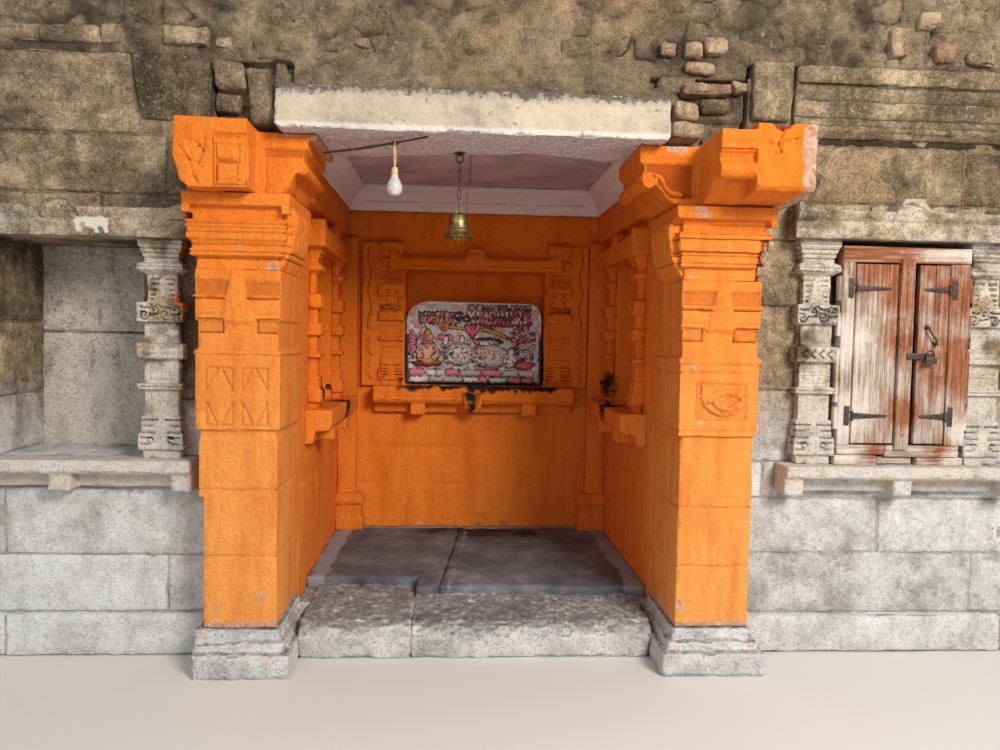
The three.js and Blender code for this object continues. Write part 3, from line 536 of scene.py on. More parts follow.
def set_mark(piece, name, values):
    layer = piece.data.attributes.get(name) or piece.data.attributes.new(name, "FLOAT", "POINT")
    layer.data.foreach_set("value", np.clip(values, 0, 1).astype(np.float32))


def get_mark(piece, name):
    values = np.zeros(len(piece.data.vertices), np.float32)
    piece.data.attributes[name].data.foreach_get("value", values)
    return values


def near(points, *spots):
    """How close the points lie to spots (x, y, z, radius): 1 at a spot, 0 at its radius."""
    total = np.zeros(len(points))
    for *middle, radius in spots:
        gap = np.linalg.norm(points - np.array(middle), axis=1)
        total = np.maximum(total, np.clip(1.15 * (1 - gap / radius), 0, 1))
    return total


def settle(piece, body, slot, *nodes, looks=()):
    """Gives a finished piece its materials, its body and the nodes that it stands for."""
    for name in looks or (slot,):
        piece.data.materials.append(finish(name))
    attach(piece, body)
    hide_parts(*nodes)
    return piece


def smooth_shading(piece):
    piece.data.polygons.foreach_set("use_smooth", [True] * len(piece.data.polygons))


def skin(name, shape, grid, carve=None, wear=0.0015, keep=1.0, marks=None, chips=0.0, seed=0):
    """A fine even skin over a closed shape, then carved, worn and thinned.

    carve(points, normals) gives how far each point moves; wear is the height of the hand-worked
    unevenness, chips how deep the arrises are knocked; marks is a dict of name to a function.
    The mark "deep" tells how far the carving sank a point; the finishes paint shade in the hollows by it.
    """
    piece = as_object(name, shape)
    apply(piece, "REMESH", mode="VOXEL", voxel_size=grid)
    places, normals = points_of(piece)
    if carve:
        shift = carve(places, normals)
        set_mark(piece, "deep", -np.sum(shift * normals, axis=1) / DARK_DEPTH)
        places = places + shift
        move_points(piece, places)
        places, normals = points_of(piece)
    shift = rubble_lumps(places, 0.09, seed) * wear + lumps(places, 0.022, seed + 5) * wear * 0.5
    if chips:
        edge = 1 - np.clip(np.max(np.abs(normals), axis=1), 0.0, 1.0)
        bite = np.clip(rubble_lumps(places, 0.05, seed + 9) - 0.15, 0, 1)
        shift -= np.clip(edge * 5, 0, 1) * bite * chips
    places = places + normals * shift[:, None]
    places[:, 2] = np.maximum(places[:, 2], 0.0)
    move_points(piece, places)
    apply(piece, "DECIMATE", ratio=keep * THINNING)
    places, normals = points_of(piece)
    for mark, rule in (marks or {}).items():
        set_mark(piece, mark, rule(places, normals))
    smooth_shading(piece)
    return piece


def looks_out(middles):
    """Faces on the outside of the cell, which are bare stone."""
    return (np.abs(middles[:, 0]) > 0.96) | (middles[:, 1] > 1.66)


def stone(name, slot, node, grid, carve=None, wear=0.0015, keep=1.0, shape=None, outside=False, **more):
    """One stone of the masonry: the skin of its CAD node, or of a shape for it, in its finish.

    outside gives the faces on the outside of the cell the finish of the wall.
    """
    form = cad_shape(node) if shape is None else shape
    piece = skin(name, form, grid, carve, wear, keep, **more)
    looks = (slot,)
    if outside:
        second_finish(piece, looks_out)
        looks = (slot, "wall_stone")
    return settle(piece, "masonry", slot, node, looks=looks)


def level_mark(value):
    """A mark that is the same all over a piece."""
    return lambda places, normals: np.full(len(places), value)


def tone_mark(middle, spread, size, seed):
    """A tone that drifts about the middle from place to place."""
    return lambda places, normals: middle + spread * lumps(places, size, seed)


def spots_mark(*spots):
    """A mark about these spots (x, y, z, radius)."""
    return lambda places, normals: near(places, *spots)


def ball(shape, middle, radius, squash=(1, 1, 1)):
    """A ball in the bmesh, flattened by squash."""
    made = bmesh.ops.create_icosphere(shape, subdivisions=2, radius=radius)["verts"]
    bmesh.ops.scale(shape, vec=squash, verts=made)
    bmesh.ops.translate(shape, vec=middle, verts=made)


def rod(shape, start, end, radius, segments=12):
    """A round bar between two points."""
    run = Vector(end) - Vector(start)
    turn = run.to_track_quat("Z", "Y").to_matrix().to_4x4()
    bmesh.ops.create_cone(
        shape, cap_ends=True, segments=segments, radius1=radius, radius2=radius, depth=run.length,
        matrix=Matrix.Translation((Vector(start) + Vector(end)) / 2) @ turn,
    )


def plate(shape, corners, front, back):
    """A flat plate across Y with these corners (x, z)."""
    face = shape.faces.new([shape.verts.new((x, front, z)) for x, z in corners])
    made = bmesh.ops.extrude_face_region(shape, geom=[face])["geom"]
    moved = [item for item in made if isinstance(item, bmesh.types.BMVert)]
    bmesh.ops.translate(shape, vec=(0, back - front, 0), verts=moved)


def turned(shape, rows, middle, steps=48):
    """A round form: rows of (radius, height) spun about an upright axis."""
    verts = [shape.verts.new((middle[0] + radius, middle[1], height)) for radius, height in rows]
    edges = [shape.edges.new(pair) for pair in zip(verts, verts[1:] + verts[:1])]
    bmesh.ops.spin(
        shape, geom=verts + edges, cent=(middle[0], middle[1], 0), axis=(0, 0, 1), angle=2 * math.pi,
        steps=steps, use_merge=True, use_duplicate=False,
    )
    bmesh.ops.remove_doubles(shape, verts=shape.verts, dist=1e-6)


def cast(name, shape, soften=0.0):
    """A finished metal form: closed, facing out, its edges rounded by soften."""
    bmesh.ops.recalc_face_normals(shape, faces=shape.faces)
    if soften:
        sharp = [edge for edge in shape.edges if edge.calc_face_angle(0) > 0.5]
        bmesh.ops.bevel(
            shape, geom=sharp, offset=soften, offset_type="OFFSET", segments=2, profile=0.5,
            affect="EDGES", material=-1,
        )
    piece = as_object(name, shape)
    smooth_shading(piece)
    piece.data.set_sharp_from_angle(angle=math.radians(40))
    return piece


def bent_rod(shape, points, y, radius, segments=12):
    """Round bars from point to point (x, z), all at one depth y."""
    for (x0, z0), (x1, z1) in zip(points, points[1:]):
        rod(shape, (x0, y, z0), (x1, y, z1), radius, segments)


def strands(name, paths, radius):
    """Round strands along paths of points, as one mesh."""
    curve = bpy.data.curves.new(name, "CURVE")
    curve.dimensions = "3D"
    curve.bevel_depth = radius
    curve.bevel_resolution = 2
    curve.use_fill_caps = True
    for path in paths:
        spline = curve.splines.new("POLY")
        spline.points.add(len(path) - 1)
        spline.points.foreach_set("co", np.column_stack([path, np.ones(len(path))]).ravel())
    loose = put(name, curve)
    mesh = shown_mesh(loose)
    bpy.data.objects.remove(loose)
    piece = put(name, mesh)
    smooth_shading(piece)
    return piece


def second_finish(piece, rule):
    """Gives the second material to the faces whose middles the rule chooses."""
    middles = np.zeros(len(piece.data.polygons) * 3, np.float32)
    piece.data.polygons.foreach_get("center", middles)
    chosen = rule(middles.reshape(-1, 3).astype(float))
    piece.data.polygons.foreach_set("material_index", chosen.astype(np.int32))


# Carving: distances in a face's own plane, negative inside a figure.


def slab_gap(u, v, u0, u1, v0, v1):
    return np.maximum(np.maximum(u0 - u, u - u1), np.maximum(v0 - v, v - v1))


def convex_gap(u, v, corners):
    """Distance past a convex figure whose corners run anticlockwise."""
    gap = np.full(len(u), -1.0)
    for (u0, v0), (u1, v1) in zip(corners, corners[1:] + corners[:1]):
        length = math.hypot(u1 - u0, v1 - v0)
        gap = np.maximum(gap, ((u - u0) * (v1 - v0) - (v - v0) * (u1 - u0)) / length)
    return gap


def line_gap(u, v, points, half):
    """Distance past a line of this half width through the points."""
    gap = np.full(len(u), 1e3)
    for (u0, v0), (u1, v1) in zip(points, points[1:]):
        du, dv = u1 - u0, v1 - v0
        share = np.clip(((u - u0) * du + (v - v0) * dv) / (du * du + dv * dv), 0, 1)
        gap = np.minimum(gap, np.hypot(u - u0 - share * du, v - v0 - share * dv))
    return gap - half


def inside(gap, soft=0.004):
    """1 inside a figure and 0 outside it, with a sloped edge."""
    return np.clip(0.5 - gap / soft, 0, 1)


def oval_gap(u, v, middle, radii, turn=0.0):
    """About the distance past an oval, turned by this share of a whole turn."""
    du, dv = u - middle[0], v - middle[1]
    along, over = math.cos(2 * math.pi * turn), math.sin(2 * math.pi * turn)
    share = np.hypot((du * along + dv * over) / radii[0], (dv * along - du * over) / radii[1])
    return (share - 1) * min(radii)


def arc(middle_u, middle_v, radius, start, end, steps=10):
    """Points along an arc, angles in turns anticlockwise from the right."""
    turns = [start + (end - start) * i / steps for i in range(steps + 1)]
    return [
        (middle_u + radius * math.cos(2 * math.pi * t), middle_v + radius * math.sin(2 * math.pi * t))
        for t in turns
    ]


class Carving:
    """Sinks and raises figures on the faces of one piece, as a shift for each of its points."""

    def __init__(self, places, normals):
        self.x, self.y, self.z = places.T
        self.places = places
        self.normals = normals
        self.shift = np.zeros_like(places)

    def face(self, way, *spans):
        """The points that face this way, within spans of (coordinates, low, high)."""
        chosen = self.normals @ way > 0.6
        for values, low, high in spans:
            chosen = chosen & (values > low) & (values < high)
        return chosen

    def sink(self, chosen, gap, depth, soft=0.004):
        """Moves what lies inside the gap inwards; a negative depth raises it."""
        self.shift -= self.normals * (depth * inside(gap, soft) * chosen)[:, None]

    def groove(self, chosen, u, v, points, depth=0.004, half=0.0025, soft=0.004):
        """An engraved line through the points."""
        self.sink(chosen, line_gap(u, v, points, half), depth, soft)

    def joint(self, values, height, depth=0.005, half=0.0015, wave=0.002):
        """A joint right round the piece, a little uneven."""
        drift = lumps(self.places, 0.06, 11) * wave
        self.sink(True, np.abs(values - height + drift) - half, depth, 0.005)

    def panel(self, chosen, u, v, box, depth=0.004, line=0.0025):
        """An engraved frame along the box (u0, u1, v0, v1)."""
        gap = slab_gap(u, v, *box)
        self.sink(chosen, np.abs(gap) - line, depth)


def engrave_pilaster(work, way, u, middle, half, bottom, top, chevrons=False, cut=1.0):
    """The carving on the face of a niche pilaster: fillets, steps, a scroll band and a stepped foot."""
    def level(share):
        return bottom + share * (top - bottom)

    v, across = work.z, u - middle
    core = half * 0.66
    on = work.face(way, (across, -half * 1.15, half * 1.15), (v, bottom, top))
    for share in (0.978, 0.955, 0.935, 0.915, 0.876, 0.33):
        work.sink(on, np.abs(v - level(share)) - 0.002, 0.008 * cut, 0.003)
    steps = ((0.728, 0.5), (0.748, 0.42), (0.771, 0.32), (0.797, 0.22), (0.82, 0.14))
    slots = ((0.066, 0.6), (0.095, 0.42), (0.122, 0.3), (0.15, 0.46), (0.176, 0.16))
    for rows, far, thin, depth in ((steps, core, 0.0028, 0.009), (slots, half * 1.1, 0.003, 0.0095)):
        for share, start in rows:
            line = slab_gap(np.abs(across), v, half * start, far, level(share) - thin, level(share) + thin)
            work.sink(on, line, depth * cut, 0.0025)
    for tilt in (-1, 1):
        curl = arc(tilt * half * 0.55, level(0.085), 0.012, 0.0, 0.8, 6)
        work.groove(on, across, v, curl, 0.009, 0.0022, 0.003)
    for low, high in ((0.36, 0.395), (0.41, 0.445)):
        work.panel(on, across, v, (-core, core, level(low), level(high)), 0.004 * cut)
    pitch = 0.0105  # from one line of the hatching to the next
    hatch = (np.abs((across / pitch) % 1 - 0.5) - 0.2) * pitch
    work.sink(on, np.maximum(hatch, slab_gap(across, v, -core, core, level(0.22), level(0.29))), 0.003, 0.002)
    tall = 0.036 * (top - bottom)
    sway = v - level(0.67) + tall * 0.35 * np.sin(across * math.pi / (tall * 1.3))
    curls = scroll_gap(across, sway, tall * 1.3, tall)
    work.sink(on, np.maximum(curls, np.abs(v - level(0.67)) - tall), 0.0105 * cut, 0.002)
    work.panel(on, across, v, (-half, half, level(0.634), level(0.706)), 0.004, 0.0015)
    if chevrons:
        for place in (-1.5, -0.5, 0.5, 1.5):
            tip = place * half * 0.5
            line = [(tip + 0.01, level(0.51)), (tip - 0.01, level(0.492)), (tip + 0.01, level(0.474))]
            work.groove(on, across, v, line, 0.01, 0.0025, 0.002)
    else:
        for share in (0.48, 0.506):
            work.sink(on, np.abs(v - level(share)) - 0.0015, 0.005, 0.003)


def scroll_gap(u, v, pitch, reach):
    """A row of curling lines, one curl in each pitch; v is measured from the row's middle."""
    cell = np.floor(u / pitch)
    local = (u - (cell + 0.5) * pitch) * np.where(cell % 2, -1, 1)
    away = np.hypot(local, v)
    turn = np.arctan2(v, local) / (2 * math.pi)
    coil = reach * 0.5
    return np.maximum((np.abs((away / coil - turn) % 1 - 0.5) - 0.2) * coil, away - reach)


# Settings


class SHRINE_PG_paint(bpy.types.PropertyGroup):
    """Colours of the finishes."""

    # The light colour is laid low down and the deep one high up, partly as painted light and painted shade.
    saffron_light: FloatVectorProperty(
        name="Saffron, light", description="Fresh saffron distemper on faces that catch the light",
        subtype="COLOR", size=3, min=0, max=1, default=srgb(240, 158, 78)[:3],
    )
    saffron_deep: FloatVectorProperty(
        name="Saffron, deep", description="Saffron distemper where it is thick or old",
        subtype="COLOR", size=3, min=0, max=1, default=srgb(232, 124, 30)[:3],
    )


class SHRINE_PG_stone(bpy.types.PropertyGroup):
    """Sizes of the masonry and of its wear."""

    joint: FloatProperty(
        name="Joint", description="Width of the open joint between two wall blocks",
        subtype="DISTANCE", unit="LENGTH", default=0.006, min=0.001, max=0.03,
    )
    arris: FloatProperty(
        name="Arris", description="How far the edges of a wall block are worn back",
        subtype="DISTANCE", unit="LENGTH", default=0.007, min=0.001, max=0.03,
    )
    wear: FloatProperty(
        name="Wear", description="Height of the unevenness of a wall block's face",
        subtype="DISTANCE", unit="LENGTH", default=0.004, min=0.0, max=0.02,
    )


# Pillars and brackets


def pillar_wear(side):
    """Bare pinkish stone at a shaft's foot and where a course is rubbed."""
    rubbed = (
        [(-0.83, -0.21, 0.3, 0.06), (-1.0, -0.21, 0.25, 0.05)] if side < 0 else
        [(0.81, -0.21, 1.195, 0.045), (0.85, -0.21, 0.985, 0.035), (0.79, -0.2, 0.26, 0.07)]
    )

    def wear(places, normals):
        foot = np.clip(1.1 - (places[:, 2] - 0.18) / 0.06, 0, 1) * 0.85
        return np.maximum(foot, near(places, *rubbed) * 0.8)

    return wear


def cut_teeth(work, front, x, z):
    """Two rows of cut triangles on the left shaft."""
    for row, tips in ((1.166, 1.083), (0.951, 1.036)):
        for start, lean in ((0.806, 1), (0.857, -1), (0.934, 1), (0.988, -1)):
            upright, wide = (start, start + 0.042)[::lean]
            figure = [(upright, row), (wide, row), (upright, tips), (upright, row)]
            work.groove(front, x, z, figure, 0.007, 0.0025)


def cut_bird(work, front, x, z):
    """A sunk panel with a bird under a crescent, on the right shaft."""
    panel = (0.825, 1.022, 0.993, 1.135)
    box = slab_gap(x, z, *panel)
    work.sink(front, box, 0.0048, 0.003)
    work.panel(front, x, z, panel, 0.005, 0.0015)
    crescent = np.maximum(np.hypot(x - 0.935, z - 1.105) - 0.095, 0.078 - np.hypot(x - 0.955, z - 1.12))
    body = np.hypot((x - 0.945) / 1.35, z - 1.075) - 0.045
    wing = line_gap(x, z, arc(0.945, 1.02, 0.085, 0.12, 0.4), 0.012)
    tail = line_gap(x, z, [(0.93, 1.05), (1.0, 1.1), (1.015, 1.125)], 0.014)
    inner = front & (box < -0.004)
    for figure, height in ((crescent, 0.013), (body, 0.011), (wing, 0.009), (tail, 0.01)):
        work.sink(inner, figure, -height, 0.007)
    work.groove(inner, x, z, arc(0.945, 1.075, 0.04, 0.5, 0.95), 0.004)


def shaft_carving(side):
    """Courses, frieze and relief of a pillar shaft; side is -1 on the left, 1 on the right."""
    courses = (0.706, 0.453, 0.931, 1.212) if side < 0 else (0.650, 0.418, 0.951, 1.176)
    top, step, foot = (1.490, 1.440, 1.424) if side < 0 else (1.489, 1.437, 1.417)
    middle = 0.92

    def carve(places, normals):
        work = Carving(places, normals)
        x, z = work.x * side, work.z
        for height in courses:
            work.joint(z, height, 0.009)
        work.joint(z, courses[2] - 0.026, 0.003)
        work.joint(z, courses[3] + 0.032, 0.002, wave=0.006)
        front = work.face(FRONT, (work.y, -1, -0.16))
        wedge = convex_gap(x, z, [
            (middle - 0.062, 1.33), (middle + 0.062, 1.33), (middle + 0.014, 1.54), (middle - 0.014, 1.54),
        ])
        beside = front & (wedge > 0)
        work.sink(beside, slab_gap(x, z, 0.5, 1.2, step + 0.004, top), 0.0075)
        work.sink(front, wedge, -0.005, 0.003)
        work.sink(beside, slab_gap(x, z, 0.5, 1.2, foot + 0.004, step - 0.004), -0.012)
        for height in (foot, step):
            work.sink(beside, np.abs(z - height) - 0.003, 0.009)
        for edge, far in ((-1, 0.075), (1, 0.05)):
            half = front & (x * edge > middle * edge)
            box = sorted((middle + edge * far, middle + edge * 0.16))
            work.panel(half, x, z, (*box, 1.297, 1.347), 0.009)
            work.sink(half, slab_gap(x, z, *box, 1.297, 1.347), 0.006, 0.003)
            work.groove(half, x, z, [(box[0], 1.364), (box[1], 1.364)], 0.006)
        if side < 0:
            cut_teeth(work, front, x, z)
        else:
            cut_bird(work, front, x, z)
        return work.shift

    return carve


def capital_carving(side):
    """Fillets of a capital, its hanging leaf, and on the right its eroded outer end."""
    lines = (1.697, 1.668, 1.62, 1.594, 1.571) if side < 0 else (1.742, 1.707, 1.683, 1.634, 1.623, 1.595)
    flute = 0.055  # from one flute of the leaf to the next

    def carve(places, normals):
        work = Carving(places, normals)
        x, y, z = work.x * side, work.y, work.z
        shallow = work.face(FRONT) | (np.abs(work.normals[:, 0]) > 0.6)
        drift = lumps(places, 0.05, 4) * 0.0015
        for height in lines:
            work.sink(shallow & (x > 0.72), np.abs(z - height + drift) - 0.0025, 0.0088, 0.005)
        leaf = work.face(-side * RIGHT, (x, 0.6, 0.78), (z, 1.53, 1.765))
        stripe = np.cos((y + 0.19) * 2 * math.pi / flute)
        work.sink(leaf, np.full(len(x), -1.0), 0.004 * np.clip(stripe, 0, 1))
        if side > 0:
            rough = np.clip((x - 1.035) / 0.03, 0, 1) * np.clip((1.70 - z) / 0.03, 0, 1)
            broken = 0.5 + 0.5 * rubble_lumps(places, 0.05, 21)
            work.shift -= work.normals * (rough * (0.008 + 0.022 * broken))[:, None]
        return work.shift

    return carve


def capital_wear(side):
    rubbed = (
        [(-0.9, -0.24, 1.6, 0.04), (-0.74, -0.24, 1.58, 0.04), (-0.79, -0.21, 1.54, 0.05)] if side < 0 else
        [(0.81, -0.25, 1.79, 0.05), (0.835, -0.25, 1.77, 0.035), (0.8, -0.23, 1.55, 0.06)]
    )

    def wear(places, normals):
        x, z = places[:, 0], places[:, 2]
        patches = near(places, *rubbed)
        if side < 0:
            return patches
        eroded = np.clip((x - 1.05 + lumps(places, 0.05) * 0.02) / 0.02, 0, 1) * (z < 1.69) * 0.7
        return np.maximum(eroded, patches)

    return wear


def left_bracket_carving(places, normals):
    """Panels and scroll of the left bracket, chisel scratches on its uncarved block."""
    work = Carving(places, normals)
    x, y, z = work.x, work.y, work.z
    front = work.face(FRONT, (y, -1, -0.3))
    rough = front & (x < -0.968)
    work.shift -= FRONT * (rough * lumps(places, 0.03, 2) * 0.004)[:, None]
    for scratch in (
        [(-1.06, 1.968), (-1.03, 1.969), (-1.001, 1.936), (-1.022, 1.88)], [(-0.993, 1.985), (-1.001, 1.936)],
        [(-1.08, 1.945), (-1.05, 1.90), (-1.039, 1.855), (-1.022, 1.82)], [(-1.07, 1.905), (-1.01, 1.89)],
        [(-1.05, 1.93), (-1.01, 1.955)], [(-1.035, 1.86), (-1.0, 1.878)],
    ):
        work.groove(rough, x, z, scratch, 0.006, 0.003, 0.006)
    carved = front & (x > -0.972)
    for box, depth, soft in (
        ((-0.969, -0.84, 1.80, 1.998), 0.008, 0.003), ((-0.966, -0.85, 1.962, 1.99), -0.014, 0.004),
        ((-0.958, -0.886, 1.906, 1.962), -0.018, 0.012), ((-0.954, -0.872, 1.822, 1.892), -0.018, 0.006),
    ):
        work.sink(carved, slab_gap(x, z, *box), depth, soft)
    hollow = np.hypot(x + 0.93, (z - 1.896) / 1.5) - 0.082
    leaf = np.maximum(slab_gap(x, z, -0.878, -0.84, 1.83, 1.962), hollow)
    work.sink(carved, leaf, -0.010, 0.008)
    work.groove(carved, x, z, [(-0.862, 1.945), (-0.857, 1.823)], 0.005)
    arm = work.face(FRONT, (y, -0.26, -0.17), (x, -0.86, -0.6))
    work.sink(arm, slab_gap(x, z, -0.822, -0.6, 1.949, 1.98), 0.008, 0.003)
    curve = [(-0.66, 1.944), (-0.668, 1.915), (-0.69, 1.89), (-0.711, 1.872), (-0.73, 1.84), (-0.751, 1.818)]
    work.groove(arm, x, z, [(-0.815, 1.811), (-0.815, 1.944)], 0.006)
    work.groove(arm, x, z, curve, 0.008, 0.003)
    work.groove(arm, x, z, [(-0.862, 1.81), (-0.862, 1.965)], 0.005, 0.004)
    side = work.face(RIGHT, (x, -0.9, -0.8), (z, 1.82, 2.0))
    work.panel(side, y, z, (-0.325, -0.22, 1.835, 1.97), 0.005)
    return work.shift


def right_bracket_carving(places, normals):
    """Scroll and mouldings of the right bracket, cracks and pits in its uncarved block."""
    work = Carving(places, normals)
    x, y, z = work.x, work.y, work.z
    arms = work.face(FRONT, (y, -0.26, -0.17))
    arm = arms & (x > 0.56) & (x < 0.82)
    band = [(0.640, 1.926), (0.662, 1.922), (0.676, 1.905), (0.686, 1.882), (0.702, 1.866), (0.745, 1.856)]
    work.sink(arm, slab_gap(x, z, 0.602, 0.79, 1.84, 1.970), 0.010, 0.004)
    work.groove(arm, x, z, [(0.59, 1.985), (0.79, 1.988)], 0.004)
    work.sink(arm, line_gap(x, z, band, 0.006), -0.013, 0.004)
    eye_x, eye_z, pitch = 0.622, 1.907, 0.011
    away = np.hypot(x - eye_x, z - eye_z)
    work.sink(arm, away - 0.031, -0.014, 0.004)
    turn = np.arctan2(z - eye_z, x - eye_x) / (2 * math.pi)
    spiral = np.abs((away / pitch - turn) % 1 - 0.5)
    work.sink(arm & (away < 0.027), 0.36 - spiral, 0.005, 0.2)
    for line in (
        [(0.798, 1.994), (0.800, 1.85)], [(0.834, 1.996), (0.84, 1.857)], [(0.818, 1.99), (0.821, 1.855)],
    ):
        work.groove(arms, x, z, line, 0.005)
    front = work.face(FRONT, (y, -1, -0.3))
    for height in (2.004, 1.975, 1.951, 1.938):
        work.sink(front & (x < 0.944), np.abs(z - height) - 0.002, 0.006)
    rough = front & (x > 0.95)
    pits = np.clip(rubble_lumps(places, 0.035, 6) - 0.3, 0, 1) + np.clip(lumps(places, 0.012, 3) - 0.3, 0, 1)
    work.shift -= FRONT * (rough * pits * 0.008)[:, None]
    work.groove(rough, x, z, [(1.02, 2.075), (1.04, 2.04), (1.018, 2.0), (1.03, 1.97)], 0.009, 0.003)
    work.groove(rough, x, z, [(1.018, 2.0), (1.045, 2.008), (1.09, 2.02)], 0.007, 0.003)
    chip = np.hypot((x - 1.035) / 1.3, (z - 2.078)) - 0.024
    work.sink(x > 0.95, chip, 0.02, 0.02)
    end = work.face(-RIGHT, (x, 0.4, 0.64), (z, 1.84, 1.96))
    work.sink(end, np.abs((y + 0.005) % 0.13 - 0.065) - 0.004, 0.006)
    return work.shift


def bracket_wear(side):
    def wear(places, normals):
        x, y, z = places.T
        if side < 0:
            edge = np.clip((z - 2.047) / 0.008, 0, 1) * (x < -0.83) * 0.6
            return np.maximum(edge, (x > -0.76) * (z > 2.016) * (y > -0.199) * 0.7)
        unpainted = np.clip((x - 1.105 + lumps(places, 0.04) * 0.012) / 0.012, 0, 1)
        top = np.clip((z - 2.03) / 0.012, 0, 1) * (y > -0.26) * (x > 0.66) * (x < 0.9)
        patch = near(places, (0.74, -0.2, 2.035, 0.06), (0.71, -0.2, 2.03, 0.04))
        return np.maximum(unpainted, np.maximum(top, patch))

    return wear


class SHRINE_OT_pillars(bpy.types.Operator):
    """Pillar bases, shafts and capitals with their carving and paint"""

    bl_idname = "shrine.pillars"
    bl_label = "Pillars"

    def execute(self, context):
        for side, word in ((-1, "left"), (1, "right")):
            stone(
                f"{word}_base_stone", "bare_stone", f"{word}_pillar_base", 0.007, wear=0.004, chips=0.02,
                seed=side, marks={"bare": lambda p, n: p[:, 2] / 0.18},
            )
            stone(
                f"{word}_shaft", "saffron_paint", f"{word}_pillar_shaft", 0.004, shaft_carving(side), 0.0014,
                0.3, seed=side, chips=0.006, marks={"bare": pillar_wear(side)},
            )
            stone(
                f"{word}_capital", "saffron_paint", f"{word}_pillar_capital", 0.0035, capital_carving(side),
                0.0012, 0.5, seed=side, chips=0.004, marks={"bare": capital_wear(side)},
            )
        return {"FINISHED"}


class SHRINE_OT_brackets(bpy.types.Operator):
    """Scrolled and uncarved arms of the two brackets"""

    bl_idname = "shrine.brackets"
    bl_label = "Brackets"

    def execute(self, context):
        for side, word, carve in ((-1, "left", left_bracket_carving), (1, "right", right_bracket_carving)):
            stone(
                f"{word}_bracket_stone", "saffron_paint", f"{word}_bracket", 0.0038, carve, 0.0018, 0.45,
                seed=side, chips=0.006, marks={"bare": bracket_wear(side)},
            )
        return {"FINISHED"}


def pecked(places, normals):
    """Rough tooling and weathering, deepest on top."""
    up = np.clip(normals[:, 2], 0, 1)
    pits = np.clip(lumps(places, 0.016, 2), 0, 1) + np.clip(rubble_lumps(places, 0.04, 4), 0, 1)
    hollow = np.clip(lumps(places, 0.13, 6), 0, 1) * up * 0.008
    return normals * (-(0.002 + 0.005 * up) * pits - hollow)[:, None]


def cell_edges(places, normals):
    """Mortar run along the foot of the cell's walls and over the joint in its floor."""
    x, y, z = places.T
    wall = np.clip((np.abs(x) - 0.665 - 0.02 * lumps(places, 0.1)) / 0.03, 0, 1) * (y > 0.2)
    rear = np.clip((y - 1.30) / 0.03, 0, 1)
    joint = np.clip(1 - np.abs(x + 0.105 - (y - 0.4) * 0.09) / 0.03, 0, 1) * 0.6
    return np.maximum(np.maximum(wall, rear), joint)


def ragged_front(places, normals):
    """A slab whose front edge runs unevenly over the threshold."""
    shift = np.zeros_like(places)
    front = (normals[:, 1] < -0.5) * (places[:, 1] < 0.6)
    shift[:, 1] = -0.022 * front * np.clip(0.5 + rubble_lumps(places, 0.13, 3), 0, 1)
    return shift


class SHRINE_OT_threshold(bpy.types.Operator):
    """Worn threshold stones and the cell's floor slabs"""

    bl_idname = "shrine.threshold"
    bl_label = "Threshold and floor"

    def execute(self, context):
        for side in ("left", "right"):
            name = f"threshold_{side}"
            stone(
                name + "_slab", "bare_stone", name + "_stone", 0.0065, pecked, 0.005, 0.9, chips=0.02,
                marks={"bare": level_mark(0.4)},
            )
        sooty = spots_mark((0.06, 1.3, 0.19, 0.4), (-0.2, 1.27, 0.19, 0.16), (0.3, 1.2, 0.19, 0.16))
        for node in ("floor_slab_left", "floor_slab_front", "floor_slab_rear"):
            stone(
                node + "_paved", "floor_stone", node, 0.01, ragged_front, 0.004, 0.4, chips=0.01,
                marks={"soot": sooty, "lime": cell_edges},
            )
        return {"FINISHED"}


def lintel_wear(places, normals):
    """Pits all over the slab and bites out of its front's upper edge."""
    pits = np.clip(lumps(places, 0.018, 2) - 0.2, 0, 1) + np.clip(lumps(places, 0.045, 5), 0, 1)
    upper = np.clip((places[:, 2] - 2.15) / 0.04, 0, 1) * (normals[:, 1] < -0.4)
    return normals * (-0.003 * pits - 0.012 * upper * np.clip(rubble_lumps(places, 0.06, 8), 0, 1))[:, None]


class SHRINE_OT_lintel(bpy.types.Operator):
    """The whitewashed lintel over the doorway"""

    bl_idname = "shrine.lintel"
    bl_label = "Lintel"

    def execute(self, context):
        stone(
            "lintel_slab", "whitewash", "front_lintel", 0.0065, lintel_wear, 0.004, 0.7, chips=0.02,
            marks={"bare": lambda p, n: np.clip((p[:, 2] - 2.17) / 0.04, 0, 1)},
        )
        return {"FINISHED"}


# Cell

OUTER_TONE = tone_mark(0.6, 0.35, 0.35, 2)


def stone_joints(work, faces, u, courses, uprights):
    """Joints of a dressed wall: heights of the courses, and uprights as (u, bottom, top)."""
    drift = lumps(work.places, 0.1, 11) * 0.0025
    half, depth, soft = 0.0015, 0.006, 0.005
    for height in courses:
        work.sink(faces, np.abs(work.z - height + drift) - half, depth, soft)
    for place, bottom, top in uprights:
        past_ends = np.abs(work.z - (bottom + top) / 2) - (top - bottom) / 2
        work.sink(faces, np.maximum(np.abs(u - place + drift) - half, past_ends), depth, soft)


def outer_stone(work, faces, u):
    """Rough courses on a face that looks out of the cell."""
    course, block = 0.335, 0.6
    rough = 0.6 + lumps(work.places, 0.06, 5) + 0.6 * rubble_lumps(work.places, 0.03, 6)
    work.shift -= work.normals * (faces * 0.004 * np.clip(rough, 0, 1.6))[:, None]
    courses = np.arange(0.0, 2.1, course)
    uprights = [
        (place + 0.27 * (row % 2), bottom, bottom + course)
        for row, bottom in enumerate(courses) for place in np.arange(-1.2, 1.8, block)
    ]
    stone_joints(work, faces, u, courses[1:], uprights)


